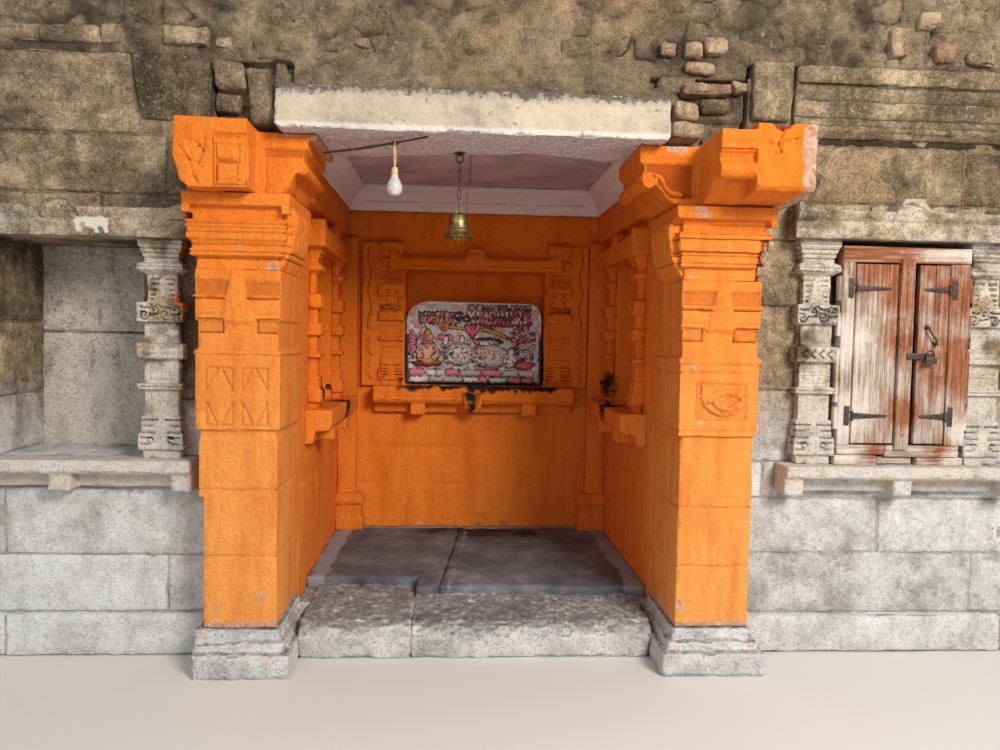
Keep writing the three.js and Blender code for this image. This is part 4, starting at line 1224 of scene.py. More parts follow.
def back_wall_carving(places, normals):
    work = Carving(places, normals)
    outer_stone(work, work.face(-FRONT, (work.y, 1.7, 1.76)), work.x)
    front = work.face(FRONT, (work.y, 1.3, 1.4))
    uprights = ((-0.029, 0.434, 0.652), (0.194, 0.652, 0.88), (-0.222, 1.85, 2.01), (0.36, 0.19, 0.434),
                (-0.41, 0.652, 0.88), (0.43, 1.85, 2.01))
    stone_joints(work, front, work.x, (0.434, 0.652, 0.872, 1.85), uprights)
    return work.shift


def side_wall_carving(side):
    def carve(places, normals):
        work = Carving(places, normals)
        outer_stone(work, work.face(side * RIGHT, (np.abs(work.x), 1.03, 1.09)), work.y)
        inner = work.face(-side * RIGHT, (np.abs(work.x), 0.68, 0.8))
        uprights = ((0.62, 0.434, 0.652), (1.02, 0.19, 0.434), (0.36, 0.652, 0.8), (0.9, 0.652, 0.8),
                    (0.34, 1.85, 2.0), (0.8, 1.85, 2.0))
        stone_joints(work, inner, work.y, (0.434, 0.652, 0.775, 1.86), uprights)
        return work.shift

    return carve


def back_surround_carving(places, normals):
    """Pilasters, weathered figures on the outer bands and a cut line round the lintel."""
    work = Carving(places, normals)
    x, z = work.x, work.z
    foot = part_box("back_niche_surround")[0].z
    for edge, way in ((-0.398, -1), (0.416, 1)):
        engrave_pilaster(work, FRONT, x, edge + way * 0.075, 0.062, foot, 1.678, cut=1.7)
        band = work.face(FRONT, (way * (x - edge), 0.155, 0.26))
        middle = edge + way * 0.2
        work.groove(band, x, z, [(middle - 0.06, 1.335), (middle + 0.06, 1.33)], 0.006)
        vine = [(middle + way * (0.012 * math.sin(i * 1.9) + 0.006), 1.80 - i * 0.058) for i in range(9)]
        work.groove(band, x, z, vine, 0.014, 0.003, 0.008)
        for step in range(4):
            spot = (middle - way * 0.012, 1.07 + step * 0.07)
            turn = 0.08 * (-1) ** step
            work.sink(band, oval_gap(x, z, spot, (0.02, 0.032), turn), -0.012, 0.02)
            work.sink(band, np.abs(oval_gap(x, z, spot, (0.022, 0.034), turn)) - 0.002, 0.009, 0.005)
        work.groove(band, x, z, [(middle + way * 0.022, 1.05), (middle + way * 0.028, 1.31)], 0.007)
    lintel = work.face(FRONT, (work.y, 1.28, 1.32))
    work.groove(lintel, x, z, [(-0.46, 1.70), (0.485, 1.71)], 0.007)
    edge_line = [(-0.46, 1.775), (-0.43, 1.745), (-0.07, 1.738), (-0.03, 1.775), (0.04, 1.775), (0.075, 1.74),
                 (0.45, 1.748), (0.485, 1.785)]
    work.groove(lintel, x, z, edge_line, 0.008)
    return work.shift


def side_surround_carving(side):
    def carve(places, normals):
        work = Carving(places, normals)
        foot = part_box("left_side_niche_surround")[0].z
        inner = -side * RIGHT
        for middle in (0.455, 1.115):
            engrave_pilaster(work, inner, work.y, middle, 0.052, foot, 1.69, cut=1.5)
        lintel = work.face(inner, (work.z, 1.69, 1.84))
        work.groove(lintel, work.y, work.z, [(0.36, 1.712), (1.2, 1.712)], 0.004)
        return work.shift

    return carve


def sill_carving(places, normals):
    """Slanted panels under the back niche's sill on both sides of its spout."""
    work = Carving(places, normals)
    front = work.face(FRONT, (work.z, 0.86, 1.01))
    work.sink(front, np.abs(work.z - 0.972) - 0.002, 0.006, 0.004)
    for side in (-1, 1):
        line = [(side * 0.53, 0.912), (side * 0.49, 0.957), (side * 0.09, 0.957)]
        work.groove(front, work.x, work.z, line, 0.007, 0.003)
        work.groove(front, work.x, work.z, [(side * 0.545, 0.94), (side * 0.515, 0.965)], 0.005)
    return work.shift


def run_lengths(x, size, seed, rule=lumps):
    """Random lengths of runs and drips, which change along X alone."""
    return rule(np.column_stack([x, x * 0, x * 0]), size, seed)


def sill_soot(places, normals):
    """Black oil on top of the back sill, run down over its edge and its spout."""
    x, y, z = places.T
    runs = run_lengths(x, 0.022, 3, rubble_lumps) * 0.016 + lumps(places, 0.2, 5) * 0.012
    edge = np.clip((z - 0.978 + runs) / 0.03, 0, 1) * np.clip((0.52 - np.abs(x - 0.03)) / 0.1, 0, 1)
    spout = near(places, (-0.01, 1.22, 0.96, 0.09), (-0.01, 1.22, 0.90, 0.07)) * (np.abs(x + 0.01) < 0.06)
    return np.maximum(edge * 0.9, spout)


SIDE_SOOT = {
    "left": ((-0.69, 0.52, 1.05, 0.15), (-0.67, 0.86, 0.95, 0.17), (-0.66, 0.8, 0.86, 0.1)),
    "right": ((0.69, 1.06, 1.06, 0.17), (0.67, 0.78, 0.97, 0.2), (0.69, 0.56, 1.02, 0.1)),
}


def back_soot(places, normals):
    """Soot behind the relief, and smudges at the wall's foot."""
    behind = near(places, (-0.40, 1.45, 1.15, 0.3), (0.42, 1.45, 1.1, 0.26), (0.0, 1.5, 1.02, 0.45))
    smudge = near(places, (-0.14, 1.37, 0.2, 0.2), (0.05, 1.37, 0.18, 0.2), (0.2, 1.37, 0.19, 0.18))
    return np.maximum(behind * (places[:, 1] > 1.4), smudge * 0.5)


def washed(places, normals):
    """Paint washed off the foot of the back wall."""
    return near(places, (-0.3, 1.37, 0.2, 0.1), (-0.1, 1.37, 0.19, 0.12), (0.2, 1.37, 0.2, 0.12)) * 0.6


class SHRINE_OT_cell_walls(bpy.types.Operator):
    """Painted walls of the cell with their courses"""

    bl_idname = "shrine.cell_walls"
    bl_label = "Cell walls"

    def execute(self, context):
        for node, carve, soot in (
            ("left_side_wall", side_wall_carving(-1), spots_mark(*SIDE_SOOT["left"])),
            ("right_side_wall", side_wall_carving(1), spots_mark(*SIDE_SOOT["right"])),
            ("back_wall", back_wall_carving, back_soot),
        ):
            stone(
                node + "_painted", "saffron_paint", node, 0.008, carve, 0.003, 0.2, outside=True,
                marks={"soot": soot, "bare": washed, "tone": OUTER_TONE},
            )
        for side in ("left", "right"):
            stone(
                side + "_corner_post", "saffron_paint", side + "_corner_pilaster", 0.005, keep=0.4,
                chips=0.006,
            )
        return {"FINISHED"}


class SHRINE_OT_cell_niches(bpy.types.Operator):
    """Niche surrounds and sills inside the cell"""

    bl_idname = "shrine.cell_niches"
    bl_label = "Cell niches"

    def fit(self, node, carve, soot, balls=()):
        """One niche stone, with balls of old wax or crumbs (middle, radius, squash) on it."""
        shape = cad_shape(node)
        for middle, radius, squash in balls:
            ball(shape, middle, radius, squash)
        stone(
            node + "_carved", "saffron_paint", node, 0.004, carve, 0.0014, 0.35, shape=shape, chips=0.006,
            seed=len(node), marks={"soot": soot},
        )

    def execute(self, context):
        for side, word in ((-1, "left"), (1, "right")):
            soot = spots_mark(*SIDE_SOOT[word])
            cakes = [
                ((x + side * 0.008 * i, y + 0.022 * (i - 1), z + 0.01 * (i % 2)), 0.017 - 0.003 * i,
                 (0.8, 1.7, 0.55))
                for x, y, z, _ in SIDE_SOOT[word][:2] for i in range(3)
            ]
            self.fit(word + "_side_niche_surround", side_surround_carving(side), soot)
            self.fit(word + "_side_niche_sill", None, soot, cakes)
        self.fit("back_niche_surround", back_surround_carving, spots_mark((-0.41, 1.32, 1.03, 0.06)))
        crumbs = [
            ((x, 1.262 + 0.02 * (i % 2), 1.014), 0.009 + 0.003 * (i % 3), (1.3, 1, 0.7))
            for i, x in enumerate((-0.3, -0.24, -0.2, -0.02, 0.03, 0.06, 0.12, 0.2, 0.33))
        ]
        self.fit("back_niche_sill", sill_carving, sill_soot, crumbs)
        return {"FINISHED"}


ICE, PINK, ROSE = srgb(208, 220, 222), srgb(232, 128, 160), srgb(200, 92, 94)
SKIN_TONE, GOLD, ASH = srgb(232, 174, 150), srgb(222, 160, 50), srgb(190, 186, 176)
SHADE, CHALK, CRIMSON = srgb(24, 20, 24), srgb(236, 234, 226), srgb(150, 34, 42)


def relief_figures(u, v):
    """Painted figures of the relief as (gap, height, colour), the nearest last."""
    scatter = random.Random(7)

    def oval(middle, radii, height, color, turn=0.0):
        return oval_gap(u, v, middle, radii, turn), height, color

    def line(points, half, height, color):
        return line_gap(u, v, points, half), height, color

    def around(middle, radii, angle):
        """The place at this angle, in turns, on an oval."""
        angle *= 2 * math.pi
        return middle[0] + radii[0] * math.cos(angle), middle[1] + radii[1] * math.sin(angle)

    for i in range(60):
        spot = (scatter.uniform(-0.36, 0.36), scatter.uniform(0.1, 0.42))
        radii = (scatter.uniform(0.012, 0.038), scatter.uniform(0.009, 0.02))
        color = scatter.choice((ASH, CHALK, ICE, ASH, CHALK, PINK, SKIN_TONE))
        yield oval(spot, radii, 0.011, color, scatter.random())
    for row, (low, high) in enumerate(((0.008, 0.05), (0.056, 0.094))):
        left = -0.375
        while left < 0.36:
            wide = scatter.uniform(0.05, 0.13)
            color = scatter.choice((PINK, ICE, CHALK, PINK, ASH)[row:])
            yield slab_gap(u, v, left, left + wide - 0.006, low, high), 0.012, color
            left += wide
    for first, count, height in ((-0.315, 10, 0.4), (0.0, 14, 0.392), (-0.03, 15, 0.445)):
        for i in range(count):
            place = first + i * 0.0255
            body = scatter.choice((ROSE, SKIN_TONE, PINK, CHALK))
            yield oval((place, height - 0.012), (0.0105, 0.028), 0.015, body, 0.02 * (-1) ** i)
            yield line([(place, height), (place + 0.011, height + 0.012)], 0.003, 0.017, SKIN_TONE)
            yield oval((place, height + 0.021), (0.0085, 0.01), 0.02, SKIN_TONE)
            yield oval((place, height + 0.03), (0.008, 0.005), 0.021, SHADE)
    yield line([(0.0, 0.36), (0.12, 0.352), (0.22, 0.356), (0.34, 0.366)], 0.005, 0.02, CRIMSON)
    yield line(arc(-0.085, 0.41, 0.024, 0.1, 0.95), 0.006, 0.02, SHADE)
    yield line(arc(-0.04, 0.395, 0.018, 0.6, 1.4), 0.006, 0.02, SHADE)
    for middle, radii, color in (
        ((-0.085, 0.185), (0.09, 0.07), ASH), ((0.1, 0.175), (0.115, 0.068), ASH),
        ((0.04, 0.2), (0.05, 0.04), SKIN_TONE), ((0.215, 0.15), (0.05, 0.045), CHALK),
    ):
        yield oval(middle, radii, 0.02, color)
        yield scroll_gap(u - middle[0] + 0.1, v - middle[1], 0.2, min(radii) * 0.85), 0.024, CHALK
    for turn in range(7):
        angle = 0.02 + turn * 0.075
        tip = around((0.285, 0.265), (0.045, 0.05), angle)
        yield oval(tip, (0.042, 0.014), 0.018, PINK, angle)
        yield oval(tip, (0.022, 0.005), 0.02, CHALK, angle)
    for i in range(8):
        color = (GOLD, SKIN_TONE)[i % 2]
        yield oval((0.28 - i * 0.012, 0.25 - i * 0.011), (0.022, 0.008), 0.022, color, 0.15)
    for turn in range(6):
        angle = 0.35 + turn * 0.06
        yield oval(around((-0.335, 0.25), (0.03, 0.06), angle), (0.03, 0.012), 0.018, PINK, angle)
    yield line([(-0.155, 0.345), (-0.05, 0.335)], 0.011, 0.02, GOLD)
    yield oval((-0.17, 0.345), (0.026, 0.026), 0.024, GOLD)
    yield oval((-0.17, 0.345), (0.011, 0.011), 0.026, ROSE)
    yield line([(0.06, 0.332), (0.13, 0.318), (0.185, 0.292)], 0.012, 0.02, GOLD)
    yield line([(0.03, 0.272), (0.1, 0.28), (0.17, 0.262)], 0.008, 0.02, SHADE)
    for lean, color in ((-0.09, PINK), (0.09, PINK), (0.0, ROSE)):
        yield oval((-0.005 + lean * 0.2, 0.322), (0.045, 0.018), 0.02, color, 0.25 - lean)
    seat = -0.27
    yield oval((seat, 0.132), (0.085, 0.022), 0.02, CRIMSON)
    yield oval((seat, 0.158), (0.066, 0.022), 0.024, GOLD)
    yield oval((seat, 0.208), (0.036, 0.05), 0.026, SKIN_TONE)
    for side in (-1, 1):
        arm = [(seat + side * 0.034, 0.24), (seat + side * 0.062, 0.198), (seat + side * 0.035, 0.165)]
        yield line(arm, 0.009, 0.026, SKIN_TONE)
    yield line(arc(seat, 0.252, 0.03, 0.55, 0.95), 0.004, 0.03, PINK)
    yield oval((seat, 0.278), (0.038, 0.038), 0.02, PINK)
    yield oval((seat, 0.278), (0.021, 0.026), 0.03, SKIN_TONE)
    yield oval((seat, 0.31), (0.019, 0.018), 0.032, GOLD)
    for side in (-1, 1):
        yield oval((seat + side * 0.009, 0.282), (0.0045, 0.002), 0.03, SHADE)
    yield oval((seat, 0.266), (0.006, 0.002), 0.03, ROSE)
    yield oval((0.3, 0.125), (0.062, 0.026), 0.02, ROSE)
    yield oval((0.28, 0.145), (0.03, 0.012), 0.024, CRIMSON, 0.1)
    yield oval((0.225, 0.2), (0.024, 0.02), 0.024, CHALK)


def relief_plane(places):
    """Places on the relief in metres from its foot, swayed as if cut by hand."""
    flat = places * np.array((1.0, 0.0, 1.0))
    u = places[:, 0] + 0.004 * lumps(flat, 0.04, 3)
    v = places[:, 2] - 1.012 + 0.004 * lumps(flat, 0.035, 9)
    return flat, u, v


class SHRINE_OT_relief(bpy.types.Operator):
    """The painted relief in the back niche"""

    bl_idname = "shrine.relief"
    bl_label = "Painted relief"

    def carve(self, places, normals):
        work = Carving(places, normals)
        _, u, v = relief_plane(places)
        rise = -0.021 + 0.006 * stone_cells(u, v, 0.032, 3)[0]
        for gap, height, _ in relief_figures(u, v):
            dome = np.sqrt(np.clip(-gap / 0.012, 0, 1))
            rise = np.where(gap < 0, np.maximum(rise, -0.017 + height * dome), rise)
        rim = np.abs(slab_gap(work.x, work.z, -0.388, 0.398, 0.9, 1.497)) < 0.012
        work.shift += FRONT * (work.face(FRONT) * np.where(rim, -0.012, rise))[:, None]
        return work.shift

    def execute(self, context):
        slab = skin("relief_panel", cad_shape("relief_slab"), 0.0036, self.carve, 0.0006, 1.3)
        flat, u, v = relief_plane(points_of(slab)[0])
        height, owner = stone_cells(u, v, 0.032, 3)
        shades = np.array((ICE, CHALK, ASH, ICE, SKIN_TONE, ICE, PINK, ASH))
        color = shades[(owner * 7.99).astype(int)]
        color[height < 0.3] = ASH
        broken = lumps(flat, 0.012, 5) > -0.25
        outline = 0.0024
        for gap, _, paint in relief_figures(u, v):
            color[gap < 0] = paint
            color[(np.abs(gap) < outline) & broken] = SHADE
        edge = np.abs(slab_gap(u, v, -0.39, 0.40, -1, 0.485)) < 0.01
        color[edge & (v < 0.3)] = SHADE
        layer = slab.data.attributes.new("paint", "FLOAT_COLOR", "POINT")
        layer.data.foreach_set("color", color.astype(np.float32).ravel())
        settle(slab, "masonry", "painted_relief", "relief_slab")
        return {"FINISHED"}


def rear_cove_carving(places, normals):
    """A fillet with two hanging loops, and the joints between the cove's stones."""
    work = Carving(places, normals)
    front = work.normals[:, 1] < -0.3
    line = [(-0.64, 2.06)]
    for middle in (-0.276, 0.318):
        line += [(middle - 0.034, 2.064), (middle - 0.03, 2.036)]
        line += arc(middle, 2.038, 0.022, 0.5, 1.0, 6)
        line += [(middle + 0.03, 2.036), (middle + 0.034, 2.064)]
    work.groove(front, work.x, work.z, [*line, (0.64, 2.066)], 0.006, 0.002, 0.004)
    for x in (-0.053, 0.581):
        work.sink(front, np.abs(work.x - x) - 0.002, 0.006)
    return work.shift


def ceiling_carving(places, normals):
    """Joints of the corner-laid ceiling stones."""
    work = Carving(places, normals)
    under = work.face(np.array((0.0, 0.0, -1.0)))
    for line in (
        [(-0.05, 0.2), (-0.04, 1.3)], [(-0.65, 0.72), (0.0, 0.22)], [(0.0, 0.22), (0.65, 0.75)],
        [(-0.65, 0.78), (-0.02, 1.27)], [(-0.02, 1.27), (0.65, 0.8)], [(-0.65, 1.2), (0.65, 1.21)],
    ):
        work.groove(under, work.x, work.y, line, 0.008, 0.003, 0.006)
    return work.shift


class SHRINE_OT_ceiling(bpy.types.Operator):
    """Ceiling slab, coves and the cell's roof"""

    bl_idname = "shrine.ceiling"
    bl_label = "Ceiling and roof"

    def execute(self, context):
        clean = level_mark(0.0)
        for node, carve, soot, fresh in (
            ("left_cove", None, clean, 1.0), ("right_cove", None, clean, 1.0),
            ("rear_cove", rear_cove_carving, spots_mark((-0.3, 1.29, 2.01, 0.06)), 1.0),
            ("ceiling_slab", ceiling_carving, clean, 0.2),
        ):
            stone(
                node + "_washed", "lilac_wash", node, 0.007, carve, 0.002, 0.16, outside=True, chips=0.004,
                marks={"soot": soot, "bare": level_mark(fresh), "tone": OUTER_TONE},
            )
        stone("roof_slabs", "wall_stone", "cell_roof", 0.02, None, 0.006, 0.5)
        return {"FINISHED"}


# Temple wall


class Stones:
    """Blocks gathered in one shape, each with a tone of its own; mortar takes the second material."""

    def __init__(self, seed):
        self.shape = bmesh.new()
        layers = self.shape.verts.layers.float
        self.marks = {name: layers.new(name) for name in ("tone", "warm", "blush", "pale", "deep")}
        self.random = random.Random(seed)

    def lay(self, low, high, skew=0.0, mortar=False, **marks):
        """One block; skew is how far its corners stray, marks set its tone, warmth or blush."""
        made = add_block(self.shape, low, high)
        values = {"tone": 0.5 if mortar else self.random.random(), **marks}
        for vert in made:
            for name, value in values.items():
                vert[self.marks[name]] = value
            vert.co += Vector([self.random.uniform(-skew, skew) for _ in range(3)])
        if mortar:
            for face in {face for vert in made for face in vert.link_faces}:
                face.material_index = 1
        return made

    def leaf(self, span, y0, y1, courses, hole=None, stray=0.004):
        """One leaf of a wall; a course is its bottom, its top and the joints along it."""
        gap = bpy.context.scene.shrine_stone.joint / 2
        for bottom, top, joints in courses:
            edges = [span[0], *[x for x in joints if span[0] < x < span[1]], span[1]]
            for left, right in zip(edges, edges[1:]):
                parts = [(left, right)]
                if hole and bottom < hole[3] - 0.01 and top > hole[2] + 0.01:
                    parts = [(left, min(right, hole[0])), (max(left, hole[1]), right)]
                for a, b in parts:
                    if b - a > 0.03:
                        front = y0 + self.random.uniform(0, stray)
                        warm = 0.35 * self.random.random() if bottom > 1.8 and a > 1 else 0.0
                        self.lay((a + gap, front, bottom + gap), (b - gap, y1, top - gap), warm=warm)

    def core(self, span, y0, y1, bottom, top, hole=None, depth=0.0):
        """The mortar between the blocks, a little behind their faces."""
        inset = 0.008
        low, high = (span[0] + inset, y0 + inset, bottom), (span[1] - inset, y1 - inset, top - inset)
        if not hole:
            self.lay(low, high, mortar=True)
            return
        sides = ((low[0], hole[0] - inset), (hole[1] + inset, high[0]))
        for a, b in sides:
            self.lay((a, low[1], low[2]), (b, high[1], high[2]), mortar=True)
        a, b = hole[0] - inset * 2, hole[1] + inset * 2
        self.lay((a, low[1], low[2]), (b, high[1], hole[2] - inset), mortar=True)
        self.lay((a, low[1], hole[3] + inset), (b, high[1], high[2]), mortar=True)
        self.lay((a, depth + inset, hole[2] - inset * 2), (b, high[1], hole[3] + inset * 2), mortar=True)

    def build(self, name, arris, step, deep_step=0.12, wear=0.004, chips=0.01, keep=0.5):
        """Rounds the arrises, gives the faces an even mesh and weathers them."""
        bmesh.ops.bevel(
            self.shape, geom=self.shape.edges, offset=arris, offset_type="OFFSET", segments=2, profile=0.5,
            affect="EDGES", material=-1,
        )
        for axis, length in enumerate((step, deep_step, step)):
            groups = {}
            for edge in self.shape.edges:
                run = edge.verts[1].co - edge.verts[0].co
                cuts = round(abs(run[axis]) / length) - 1
                if cuts > 0 and abs(run[axis]) > 0.9 * run.length:
                    groups.setdefault(cuts, []).append(edge)
            for cuts, edges in sorted(groups.items()):
                bmesh.ops.subdivide_edges(self.shape, edges=edges, cuts=cuts, use_grid_fill=True)
        piece = as_object(name, self.shape)
        places, normals = points_of(piece)
        tone = get_mark(piece, "tone")
        own = places + tone[:, None] * 37
        shift = rubble_lumps(own, 0.16) * wear + rubble_lumps(own, 0.03, 3) * wear * 0.6
        edge = np.clip((1 - np.max(np.abs(normals), axis=1)) * 5, 0, 1)
        bite = np.clip(rubble_lumps(own, 0.06, 9) - 0.1, 0, 1)
        shift -= edge * bite * chips
        places = places + normals * shift[:, None]
        places[:, 2] = np.maximum(places[:, 2], 0.0)
        move_points(piece, places)
        apply(piece, "DECIMATE", ratio=keep)
        smooth_shading(piece)
        piece.data.set_sharp_from_angle(angle=math.radians(48))
        return piece


def regular_joints(span, length, offset):
    """Joints spaced by this length along a wall, shifted by a share of it."""
    count = int((span[1] - span[0]) / length) + 2
    return [span[0] + (i + offset) * length for i in range(count)]


def rear_courses(span, top):
    """Plain courses for the wall's unseen rear leaf."""
    rows = []
    bottom, row = 0.0, 0
    heights = itertools.cycle((0.30, 0.26, 0.34, 0.29))
    while bottom < top - 0.01:
        height = min(next(heights), top - bottom)
        if top - bottom - height < 0.1:
            height = top - bottom
        rows.append((bottom, bottom + height, regular_joints(span, 0.62, 0.3 + 0.5 * (row % 2))))
        bottom, row = bottom + height, row + 1
    return rows


LEAF = 0.35  # the wall's two leaves meet at the backs of the niches
LEFT_COURSES = (
    (0.0, 0.17, (-1.87,)), (0.17, 0.402, (-1.93, -1.244)), (0.402, 0.676, (-1.875,)),
    (0.676, 0.8, (-2.1, -1.6)), (0.8, 1.03, (-2.2,)), (1.03, 1.33, (-2.05,)), (1.33, 1.655, (-2.2,)),
    (1.655, 1.833, (-2.0, -1.5)), (1.833, 2.062, (-2.15, -1.25)),
)
RIGHT_COURSES = (
    (0.0, 0.162, (2.235,)), (0.162, 0.417, (2.107,)), (0.417, 0.65, (1.69,)), (0.65, 0.802, (1.18, 1.9)),
    (0.802, 1.1, (2.3,)), (1.1, 1.45, (2.2,)), (1.45, 1.72, (2.28,)), (1.72, 1.878, (1.6, 2.1)),
    (1.878, 2.11, (1.713, 1.99)),
)
BAND = 2.385  # above this height the wall is rubble under mortar


def stone_cells(u, v, size, seed=0):
    """Rounded heights, 0 to 1, of rough stones lying side by side, and a number for each stone."""
    near_gap = np.full(len(u), 9.0)
    next_gap = np.full(len(u), 9.0)
    owner = np.zeros(len(u))
    row, column = np.floor(v / size * 1.35), np.floor(u / size)
    for step_row, step_column in itertools.product((-1, 0, 1), repeat=2):
        r, c = row + step_row, column + step_column
        key = (r.astype(np.int64) * 73856093) ^ (c.astype(np.int64) * 19349663) ^ (seed * 83492791)
        first = ((key * 1274126177 >> 8) & 0xFFFF) / 0xFFFF
        second = ((key * 974634777 >> 9) & 0xFFFF) / 0xFFFF
        gap = np.hypot(u / size - c - 0.15 - 0.7 * first, v / size * 1.35 - r - 0.2 - 0.6 * second)
        closer = gap < near_gap
        next_gap = np.where(closer, near_gap, np.minimum(next_gap, gap))
        owner = np.where(closer, first, owner)
        near_gap = np.where(closer, gap, near_gap)
    return np.clip((next_gap - near_gap) * 3.2, 0, 1) ** 0.5, owner


# Undersides of stones that show through the mortar over the lintel, as lines of (x, z).
CRACKS = (
    ((-0.915, 2.432), (-0.908, 2.37), (-0.84, 2.371)),
    ((-0.825, 2.41), (-0.774, 2.386), (-0.742, 2.388), (-0.736, 2.426)),
    ((-0.64, 2.417), (-0.59, 2.413)), ((-0.451, 2.45), (-0.444, 2.412), (-0.392, 2.412)),
    ((-0.098, 2.441), (-0.071, 2.42), (-0.025, 2.422), (0.001, 2.445)),
    ((0.299, 2.481), (0.307, 2.429), (0.368, 2.428)),
    ((0.502, 2.449), (0.542, 2.441), (0.566, 2.465), (0.581, 2.512)),
    ((0.595, 2.506), (0.603, 2.434), (0.664, 2.432)),
)


def band_carving(places, normals):
    """Mortar over rubble: a haunch above the lintel, buried stones, pits and cracks."""
    work = Carving(places, normals)
    x, y, z = work.x, work.y, work.z
    front = work.face(FRONT)
    over = np.clip((0.86 - np.abs(x + 0.03)) / 0.12, 0, 1)
    haunch = 0.06 * np.exp(-(((z - 2.26) / 0.1) ** 2)) * over
    rough = 0.014 * lumps(places, 0.22, 3) + 0.006 * rubble_lumps(places, 0.07, 12)
    work.shift += FRONT * (front * (haunch + rough))[:, None]
    height, owner = stone_cells(x, z, 0.13, 5)
    shows = np.clip((owner - 0.45) * 4, 0, 1) * np.clip((z - 2.44 + 0.03 * lumps(places, 0.3)) / 0.03, 0, 1)
    work.shift += FRONT * (front * shows * (height - 0.7) * 0.026)[:, None]
    pitted = front * np.clip((x - 1.1) / 0.1, 0, 1) * np.clip((2.56 - z) / 0.03, 0, 1)
    pits = np.clip(lumps(places, 0.028, 7), 0, 1) + np.clip(lumps(places, 0.05, 8), 0, 1)
    work.shift -= FRONT * ((0.45 + 0.75 * pitted) * front * pits * 0.012)[:, None]
    for line in CRACKS:
        work.groove(front, x, z, list(line), 0.022, 0.004, 0.006)
    rear = work.face(-FRONT, (z, 2.3, 9))
    height = stone_cells(x, z, 0.2, 9)[0]
    work.shift -= FRONT * (rear * (height - 0.6) * 0.02)[:, None]
    return work.shift


def over_lintel(stones):
    """Loose rubble at the two ends of the lintel, and bricks and stones set in the mortar."""
    back = 0.17
    rough = (
        (-1.06, -0.94, 2.25, 2.355, -0.02, 0.55, 0), (-1.062, -0.965, 2.165, 2.24, 0.0, 0.35, 0),
        (-0.925, -0.84, 2.11, 2.325, -0.03, 0.4, 0), (-1.06, -0.95, 2.06, 2.15, 0.03, 0.2, 0),
        (-0.835, -0.78, 2.2, 2.37, 0.0, 0.5, 0),
        (0.79, 0.995, 2.29, 2.338, -0.035, 0.7, 0.3), (1.0, 1.05, 2.3, 2.345, -0.03, 0.95, 0),
        (0.865, 0.995, 2.222, 2.28, -0.01, 0.15, 0), (0.757, 0.855, 2.182, 2.247, -0.05, 0.9, 0.1),
        (0.742, 0.872, 2.108, 2.172, -0.05, 0.8, 0.1), (0.89, 0.98, 2.05, 2.13, 0.02, 0.2, 0),
        (0.69, 0.75, 2.2, 2.29, -0.01, 0.5, 0), (0.69, 0.86, 2.295, 2.37, -0.01, 0.5, 0),
    )
    for left, right, bottom, top, front, tone, blush in rough:
        stones.lay((left, front, bottom), (right, back, top), skew=0.01, tone=tone, blush=blush)
    bricks = (
        (-0.523, -0.458, 2.424, 2.473, 0.54), (0.70, 0.762, 2.447, 2.494, 0.54),
        (0.798, 0.865, 2.444, 2.507, 0.24), (0.886, 0.964, 2.454, 2.528, 0.12),
        (0.807, 0.918, 2.387, 2.422, 0.42),
    )
    for left, right, bottom, top, blush in bricks:
        stones.lay((left, -0.018, bottom), (right, 0.08, top), skew=0.009, tone=0.85, blush=blush)
    stones.lay((1.083, -0.02, 2.205), (1.252, 0.16, 2.438), skew=0.006, tone=0.55)
    for left, right, bottom, top, proud, tone, blush in (
        (1.648, 1.729, 2.478, 2.584, 0.03, 0.85, 0.3), (1.755, 1.851, 2.596, 2.656, 0.035, 0.9, 0.1),
        (1.833, 1.918, 2.457, 2.535, 0.035, 0.7, 0.55), (1.97, 2.1, 2.45, 2.51, 0.03, 0.3, 0.0),
        (-1.253, -1.079, 2.412, 2.483, 0.022, 0.8, 0.1), (-1.497, -1.26, 2.412, 2.478, 0.008, 0.55, 0.0),
        (-1.72, -1.503, 2.41, 2.474, 0.006, 0.5, 0.0), (-2.05, -1.73, 2.415, 2.47, 0.005, 0.4, 0.0),
        (-1.07, -0.99, 2.40, 2.46, 0.004, 0.6, 0.0), (-0.985, -0.925, 2.395, 2.44, 0.004, 0.55, 0.1),
    ):
        stones.lay((left, -proud, bottom), (right, 0.12, top), skew=0.008, tone=tone, blush=blush)


